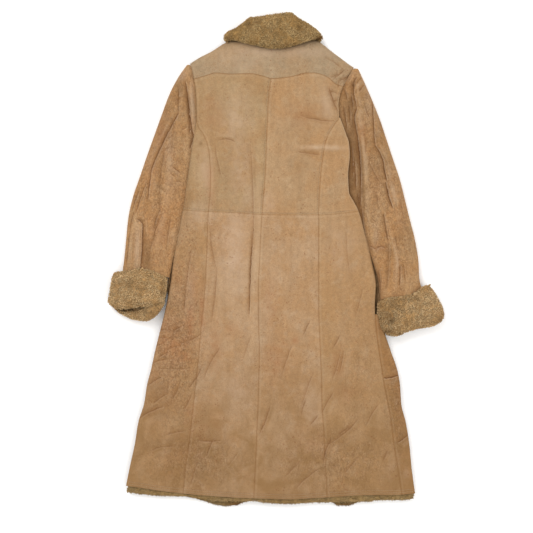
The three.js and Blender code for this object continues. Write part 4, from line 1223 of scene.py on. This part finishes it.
def grow_wool(name, bodies, spacing, seed, comb=(0.0, 0.0, 0.0), size=1.0, lowest=0.002,
              stains_and_shade=(), tufts=()):
    """Covers wool bodies with locks, as one joined piece: each lock stands on the surface,
    leans with the comb direction and has its own turn, size and tone."""
    rng = np.random.default_rng(seed)
    all_points, all_faces, tips, tones, soils = [], [], [], [], []
    total = 0
    for body in bodies:
        mesh = body.data
        mesh.calc_loop_triangles()
        corners = np.empty(len(mesh.loop_triangles) * 3, int)
        mesh.loop_triangles.foreach_get("vertices", corners)
        points = np.empty(len(mesh.vertices) * 3)
        mesh.vertices.foreach_get("co", points)
        points = points.reshape(-1, 3)
        set_looks(mesh, tip=np.full(len(points), 0.1), tone=np.full(len(points), 0.5),
                  soil=marks_at(stains_and_shade, points[:, 0] / MM, points[:, 1] / MM))
        triangles = points[corners.reshape(-1, 3)]
        normals = np.cross(triangles[:, 1] - triangles[:, 0], triangles[:, 2] - triangles[:, 0])
        areas = np.linalg.norm(normals, axis=1) / 2
        normals = normals / (2 * areas[:, None] + 1e-15)
        shown = areas * ((normals[:, 2] > -0.6) & (triangles[:, :, 2].mean(axis=1) > lowest))
        count = int(shown.sum() / (spacing * MM) ** 2)
        chosen = rng.choice(len(areas), count, p=shown / shown.sum())
        weights = rng.dirichlet((1, 1, 1), count)
        places = np.einsum("ij,ijk->ik", weights, triangles[chosen])
        ups = normals[chosen] + rng.normal(0, 0.2, (count, 3)) + np.array(comb)
        ups /= np.linalg.norm(ups, axis=1)[:, None]
        sizes = size * rng.uniform(0.82, 1.15, count)
        if body is bodies[0] and tufts:
            places = np.concatenate([places, [np.array(tuft[0]) * MM for tuft in tufts]])
            ups = np.concatenate([ups, [np.array(tuft[1]) for tuft in tufts]])
            sizes = np.concatenate([sizes, [tuft[2] for tuft in tufts]])
        # Dark patches on the locks: dirt, and in places painted shade.
        stain_and_shade_at_locks = marks_at(stains_and_shade, places[:, 0] / MM, places[:, 1] / MM)
        for place, up, scale, stain_and_shade_here in zip(places, ups, sizes, stain_and_shade_at_locks):
            lock_points, lock_faces = LOCKS[rng.integers(len(LOCKS))]
            heading = whorl(place[0] / MM, place[1] / MM) + rng.normal(0, 1.5)
            second = np.cross(up, (math.cos(heading), math.sin(heading), 0.1))
            second /= np.linalg.norm(second)
            first = np.cross(second, up)
            moved = lock_points * scale
            moved = place - up * MM + moved @ np.stack([first, second, up])
            moved[:, 2] = np.maximum(moved[:, 2], 0.0004)
            all_points.append(moved)
            all_faces.extend([[corner + total for corner in face] for face in lock_faces])
            tips.append(np.clip(lock_points[:, 2] / LOCK_LENGTH / 0.8, 0, 1))
            tones.append(np.full(len(lock_points), rng.uniform(0, 1)))
            soils.append(np.full(len(lock_points), stain_and_shade_here))
            total += len(lock_points)
    mesh = bpy.data.meshes.new(name)
    mesh.from_pydata(np.concatenate(all_points).tolist(), [], all_faces)
    set_looks(mesh, tip=np.concatenate(tips), tone=np.concatenate(tones),
              soil=np.concatenate(soils))
    mesh.shade_smooth()
    pile = bpy.data.objects.new(name, mesh)
    bpy.context.scene.collection.objects.link(pile)
    return pile


def wool(name, root, middle, tip, patch):
    """Curly wool: dark at the roots, pale at the tips, in patches of another tone."""
    material = bpy.data.materials.new(name)
    material.use_nodes = True
    tree = material.node_tree
    shader = tree.nodes["Principled BSDF"]
    shader.inputs["Roughness"].default_value = 0.9
    shader.inputs["Specular IOR Level"].default_value = 0.06
    shader.inputs["Sheen Weight"].default_value = 0.05
    shader.inputs["Sheen Roughness"].default_value = 0.5
    shader.inputs["Sheen Tint"].default_value = (1.0, 0.74, 0.42, 1)
    place = tree.nodes.new("ShaderNodeTexCoord").outputs["Object"]
    along = attribute(tree, "tip")
    colour = blended(tree, ranged(tree, along, 0.05, 0.5), root, middle)
    colour = blended(tree, ranged(tree, along, 0.5, 1.0), colour, tip)
    drift = ranged(tree, noise(tree, place, 26.0, 3.0, 0.6), 0.42, 0.6, 0.0, 0.7)
    colour = blended(tree, drift, colour, patch)
    # Dark patches: dirt, and painted shade where they stand in for the shadow at the collar's lower ends, in the
    # left cuff's mouth and in the front hem's dips.
    soiled = sum_of(tree, "MULTIPLY", attribute(tree, "soil"),
                    ranged(tree, noise(tree, place, 110.0, 3.0), 0.35, 0.6, 0.6, 1.0))
    colour = blended(tree, sum_of(tree, "MULTIPLY", soiled, 0.95), colour, (0.13, 0.062, 0.018))
    tone = sum_of(tree, "MULTIPLY", ranged(tree, attribute(tree, "tone"), 0, 1, 0.9, 1.1),
                  ranged(tree, noise(tree, place, 120.0, 3.0, 0.8), 0.38, 0.62, 0.8, 1.2))
    tone = sum_of(tree, "MULTIPLY", tone,
                  ranged(tree, noise(tree, place, 420.0, 2.0), 0.3, 0.7, 0.88, 1.13))
    colour = blended(tree, 1.0, colour, tone, "MULTIPLY")
    tree.links.new(colour, shader.inputs["Base Color"])
    bump = tree.nodes.new("ShaderNodeBump")
    bump.inputs["Distance"].default_value = 0.0015
    bump.inputs["Strength"].default_value = 0.6
    tree.links.new(noise(tree, place, 520.0, 3.0), bump.inputs["Height"])
    tree.links.new(bump.outputs["Normal"], shader.inputs["Normal"])
    return material


def wrap_in_wool(bodies, pile, material):
    """The locks ride with the wool bodies that they grow on."""
    for piece in (*bodies, pile):
        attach(piece, "root")
    pile.data.materials.append(material)


collar_wool = wool("collar_wool", (0.25, 0.155, 0.063), (0.46, 0.31, 0.135), (0.52, 0.37, 0.185),
                   (0.34, 0.2, 0.07))
fall_body, fall_cut = wool_body(
    "collar_fall_body", (constant(COLLAR_LEFT + PILE), constant(COLLAR_RIGHT - PILE)),
    (shifted(fall_edge, PILE * 0.6), shifted(collar_top, -PILE)), fall_surface,
    lambda x, y: np.maximum(COLLAR_STAND + REST, fall_surface(x, y) - WOOL_WALL))
stand_body, stand_cut = wool_body(
    "collar_stand_body", (constant(COLLAR_LEFT + PILE + 3), constant(COLLAR_RIGHT - PILE - 3)),
    (shifted(neck_line, NECK_GAP), shifted(collar_top, -PILE - 1)),
    lambda x, y: np.minimum(COLLAR_STAND, stand_surface(x, y) + WOOL_WALL + 4), stand_surface)
collar_locks = grow_wool(
    "collar_locks", (fall_body, stand_body), 2.35, 3,
    # (104, 531) and (-112, 530) are painted shadow at the collar's lower ends.
    stains_and_shade=((-62, 560, 7, 14, 0.7), (-44, 566, 8, 8, 0.5), (104, 531, 9, 5, 1.0),
            (-112, 530, 12, 5, 0.7), (58, 548, 8, 10, 0.4), (-10, 540, 30, 20, 0.25),
            (20, 512, 40, 5, 0.4)))
wrap_in_wool((fall_body, stand_body), collar_locks, collar_wool)
for body, node, cut in ((fall_body, "collar_fall", fall_cut), (stand_body, "collar_stand", stand_cut)):
    body.data.materials.append(collar_wool)
    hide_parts(node)


# Cuffs
# The wide wool cuffs are the sleeve ends turned back on themselves. The left one shows its
# mouth, because its lower lip reaches past the upper one.
CUFF_LOWER = 26.0
CUFF_UPPER = 28.0
CUFF_ROUND = 30.0
CUFF_UNDER_ROUND = 18.0
CUFF_SHOULDER = 0.25
MOUTH_DROP = 18.0              # how far the lower lip drops away inside the mouth
LIP_SWELL = 13.0               # how far it rises to meet the upper lip where the mouth is shut
CUFFS = {
    "left": {
        "top": CUFF_TOP_LEFT,
        "bottom": ((-404, -98), (-392, -115), (-370, -132), (-340, -145), (-312, -148),
                   (-290, -136), (-272, -112), (-266, -97)),
        "mouth": ((-404, -98), (-394, -109), (-372, -118), (-340, -114), (-305, -112),
                  (-276, -108), (-266, -97)),
        "low_side": ((-97, -404), (-70, -399), (-50, -396), (-26, -387)),
        "high_side": ((-97, -266), (-70, -261), (-43, -259)),
        "shut": (-335, -300),
        "reach": 0.0,
        "seed": 5,
        # The three thin dark patches along the mouth are painted shade in its slit.
        "stains_and_shade": ((-352, -121, 22, 4, 1.0), (-326, -113, 12, 4, 0.9), (-378, -118, 12, 3, 0.7),
                   (-292, -128, 20, 8, 0.3), (-272, -70, 6, 30, 0.4), (-350, -60, 40, 16, 0.2)),
        "tufts": (((-326, -24, 40), (-0.2, 0.9, 0.4), 1.6), ((-318, -23, 40), (0.2, 0.9, 0.4), 1.7),
                  ((-306, -26, 38), (0.1, 0.9, 0.4), 1.4), ((-296, -27, 38), (0.3, 0.8, 0.4), 1.4)),
    },
    "right": {
        "top": CUFF_TOP_RIGHT,
        "bottom": ((247, -143), (256, -166), (268, -180), (285, -182), (310, -173), (340, -164),
                   (370, -159), (392, -149), (404, -134)),
        "mouth": ((247, -143), (256, -166), (268, -180), (285, -182), (310, -173), (340, -164),
                  (370, -159), (392, -149), (404, -134)),
        "low_side": ((-143, 250), (-120, 244), (-96, 247)),
        "high_side": ((-134, 404), (-120, 402), (-100, 393), (-76, 380), (-58, 364)),
        "shut": (1000, 1001),
        "reach": 5.0,
        "seed": 6,
        "stains_and_shade": ((275, -142, 9, 13, 0.9), (268, -130, 24, 36, 0.45), (264, -170, 24, 10, 0.8), (256, -112, 9, 12, 0.5),
                   (292, -176, 26, 5, 0.5), (282, -108, 16, 10, 0.45), (304, -98, 40, 5, 0.35),
                   (336, -92, 14, 5, 0.35), (386, -142, 12, 12, 0.3)),
        "tufts": (((366, -60, 34), (0.75, 0.65, 0.2), 1.6), ((364, -61, 36), (0.7, 0.7, 0.2), 1.5),
                  ((368, -63, 32), (0.85, 0.5, 0.1), 1.3), ((352, -66, 38), (0.1, 0.95, 0.3), 1.2)),
    },
}
cuff_wool = wool("cuff_wool", (0.297, 0.18, 0.0792), (0.554, 0.38, 0.194), (0.653, 0.48, 0.273),
                 (0.416, 0.247, 0.101))


def build_cuff(hand, lines):
    low_side, high_side = line_through(lines["low_side"]), line_through(lines["high_side"])
    top, bottom, mouth = (line_through(lines[key]) for key in ("top", "bottom", "mouth"))

    def fullness(x, y, lower_line, radius):
        ends = rounded(np.minimum(x - low_side(y), high_side(y) - x), radius)
        edges = rounded(np.minimum(y - lower_line(x), top(x) - y), radius)
        return ends * mix(CUFF_SHOULDER, 1, edges)

    def upper(x, y):
        rise = RIM + (CUFF_UPPER - RIM) * fullness(x, y, mouth, CUFF_ROUND)
        return CUFF_LOWER + REST + np.maximum(1.0, rise - PILE + lumps(x, y) * 0.6)

    def under(x, y):
        return (CUFF_LOWER - RIM) * (1 - fullness(x, y, bottom, CUFF_UNDER_ROUND))

    def lip(x, y):
        inside = smooth(y, mouth(x) - 8, mouth(x) + 1)
        rim = rounded(y - bottom(x), 12.0)
        shut = smooth(x, *lines["shut"])
        return (CUFF_LOWER - 5 + 3 * rim + lumps(x, y) * 0.5 - MOUTH_DROP * inside * (1 - shut)
                + LIP_SWELL * shut * rim)

    sides = (shifted(low_side, PILE), shifted(high_side, -PILE))
    over_skirt = shifted(low_side, PILE - lines["reach"])
    upper_body, _ = wool_body(
        f"cuff_{hand}_body", (over_skirt, sides[1]),
        (shifted(mouth, PILE * 0.5), shifted(top, -PILE * 0.4)), upper,
        lambda x, y: np.maximum(CUFF_LOWER + REST, upper(x, y) - WOOL_WALL))
    lower_body, _ = wool_body(
        f"cuff_{hand}_lip", sides, (shifted(bottom, PILE), shifted(top, -PILE)), lip, under)
    locks = grow_wool(f"cuff_{hand}_locks", (upper_body, lower_body), 2.35, lines["seed"],
                      stains_and_shade=lines["stains_and_shade"], tufts=lines["tufts"])
    wrap_in_wool((upper_body, lower_body), locks, cuff_wool)
    for body, node in ((upper_body, f"cuff_upper_{hand}"), (lower_body, f"cuff_lower_{hand}")):
        body.data.materials.append(cuff_wool)
        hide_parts(node)


for hand, lines in CUFFS.items():
    build_cuff(hand, lines)


# Wool at the hem
# The skins are cut a little longer than the suede facing, so their wool stands out below
# the hem of the back, and below the fronts under it.
HEM_WOOL = 8.0
WOOL_LINE = ((-366, -557), (-326, -563), (-278, -567), (-218, -569), (-170, -577), (-146, -580),
             (-98, -580), (-50, -579), (-26, -583), (34, -586), (106, -583), (160, -582),
             (226, -581), (240, -578), (310, -577), (336, -573))
HEM_TUCK = 14.0                # the wool starts this far inside the hem
wool_line = line_through(WOOL_LINE)
hem_wool = wool("hem_wool", (0.221, 0.144, 0.0626), (0.337, 0.233, 0.108), (0.428, 0.307, 0.163),
                (0.246, 0.153, 0.0595))
# The fronts' hem wool is darker than the back's: painted shade where it lies under the back.
front_hem_wool_in_shade = wool("front_hem_wool_in_shade", (0.17, 0.113, 0.0496), (0.269, 0.184, 0.0866),
                      (0.354, 0.26, 0.135), (0.184, 0.116, 0.0496))


def back_edge(x, y):
    return LAYER + REST + lap_under_back(x) + mix(1.0, HEM_WOOL - 3, rounded(y - wool_line(x), 6.0))


def front_edge(x, y):
    return 4.0 + 5.0 * rounded(y - front_hem(x), 6.0) - 3.0 * (1 - rounded(x - left(y), 14.0))


back_wool, _ = wool_body(
    "hem_wool_back", (shifted(left, 5.0), shifted(right, -4.0)),
    (shifted(wool_line, 0.8), shifted(hem_line, HEM_TUCK)), back_edge,
    lambda x, y: LAYER + REST + lap_under_back(x))
front_wool, _ = wool_body(
    "hem_wool_front", (shifted(left, 6.0), shifted(right, -6.0)),
    (shifted(front_hem, 2.0), shifted(hem_line, HEM_TUCK)), front_edge,
    lambda x, y: np.full_like(x, 2.5))
back_locks = grow_wool("hem_locks_back", (back_wool,), 3.3, 7, comb=(0, -0.7, 0.1), size=0.8)
front_locks = grow_wool("hem_locks_front", (front_wool,), 3.7, 8, comb=(0, -0.7, 0), size=0.75,
                        # Two dark patches in the dips below the back's hem: painted shade.
                        stains_and_shade=((-100, -587, 24, 8, 1.0), (170, -592, 34, 9, 0.9)))
wrap_in_wool((back_wool,), back_locks, hem_wool)
wrap_in_wool((front_wool,), front_locks, front_hem_wool_in_shade)
back_wool.data.materials.append(hem_wool)
front_wool.data.materials.append(front_hem_wool_in_shade)
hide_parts("hem_wool")


# Topstitching
# Rows of thick tan thread hold the centre seam, the waist seam and the hem. Each stitch
# is a short round length of thread that sinks into the suede at both ends.
STITCH_LENGTH = 3.2
STITCH_RADIUS = 0.34
bpy.ops.object.select_all(action="DESELECT")
bpy.ops.mesh.primitive_cylinder_add(vertices=6, radius=STITCH_RADIUS * MM,
                                    depth=STITCH_LENGTH * MM, rotation=(0, math.pi / 2, 0))
stitch = bpy.context.object
bpy.ops.object.transform_apply(location=False, rotation=True, scale=False)
stitch_points = np.array([vertex.co[:] for vertex in stitch.data.vertices])
stitch_faces = [list(face.vertices) for face in stitch.data.polygons]
bpy.data.objects.remove(stitch)
all_points, all_faces = [], []
for row in stitch_rows:
    ahead = np.diff(row, axis=0)
    middle = (row[1:] + row[:-1]) / 2
    for way, place in zip(ahead, middle):
        way = way / np.linalg.norm(way)
        across = np.cross((0, 0, 1), way)
        across /= np.linalg.norm(across)
        turned = stitch_points @ np.stack([way, across, np.cross(way, across)])
        first = len(all_points) * len(stitch_points)
        all_points.append(turned + (place + np.array([0, 0, 0.12])) * MM)
        all_faces.extend([[corner + first for corner in face] for face in stitch_faces])
thread_mesh = bpy.data.meshes.new("topstitching")
thread_mesh.from_pydata(np.concatenate(all_points).tolist(), [], all_faces)
thread_mesh.shade_smooth()
topstitching = bpy.data.objects.new("topstitching", thread_mesh)
bpy.context.scene.collection.objects.link(topstitching)
thread = bpy.data.materials.new("tan_thread")
thread.use_nodes = True
thread_shader = thread.node_tree.nodes["Principled BSDF"]
thread_shader.inputs["Roughness"].default_value = 0.7
twist = noise(thread.node_tree, thread.node_tree.nodes.new("ShaderNodeTexCoord").outputs["Object"],
              900.0, 2.0)
thread.node_tree.links.new(
    blended(thread.node_tree, twist, (0.33, 0.205, 0.11), (0.46, 0.32, 0.19)),
    thread_shader.inputs["Base Color"])
thread_mesh.materials.append(thread)
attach(topstitching, "root")
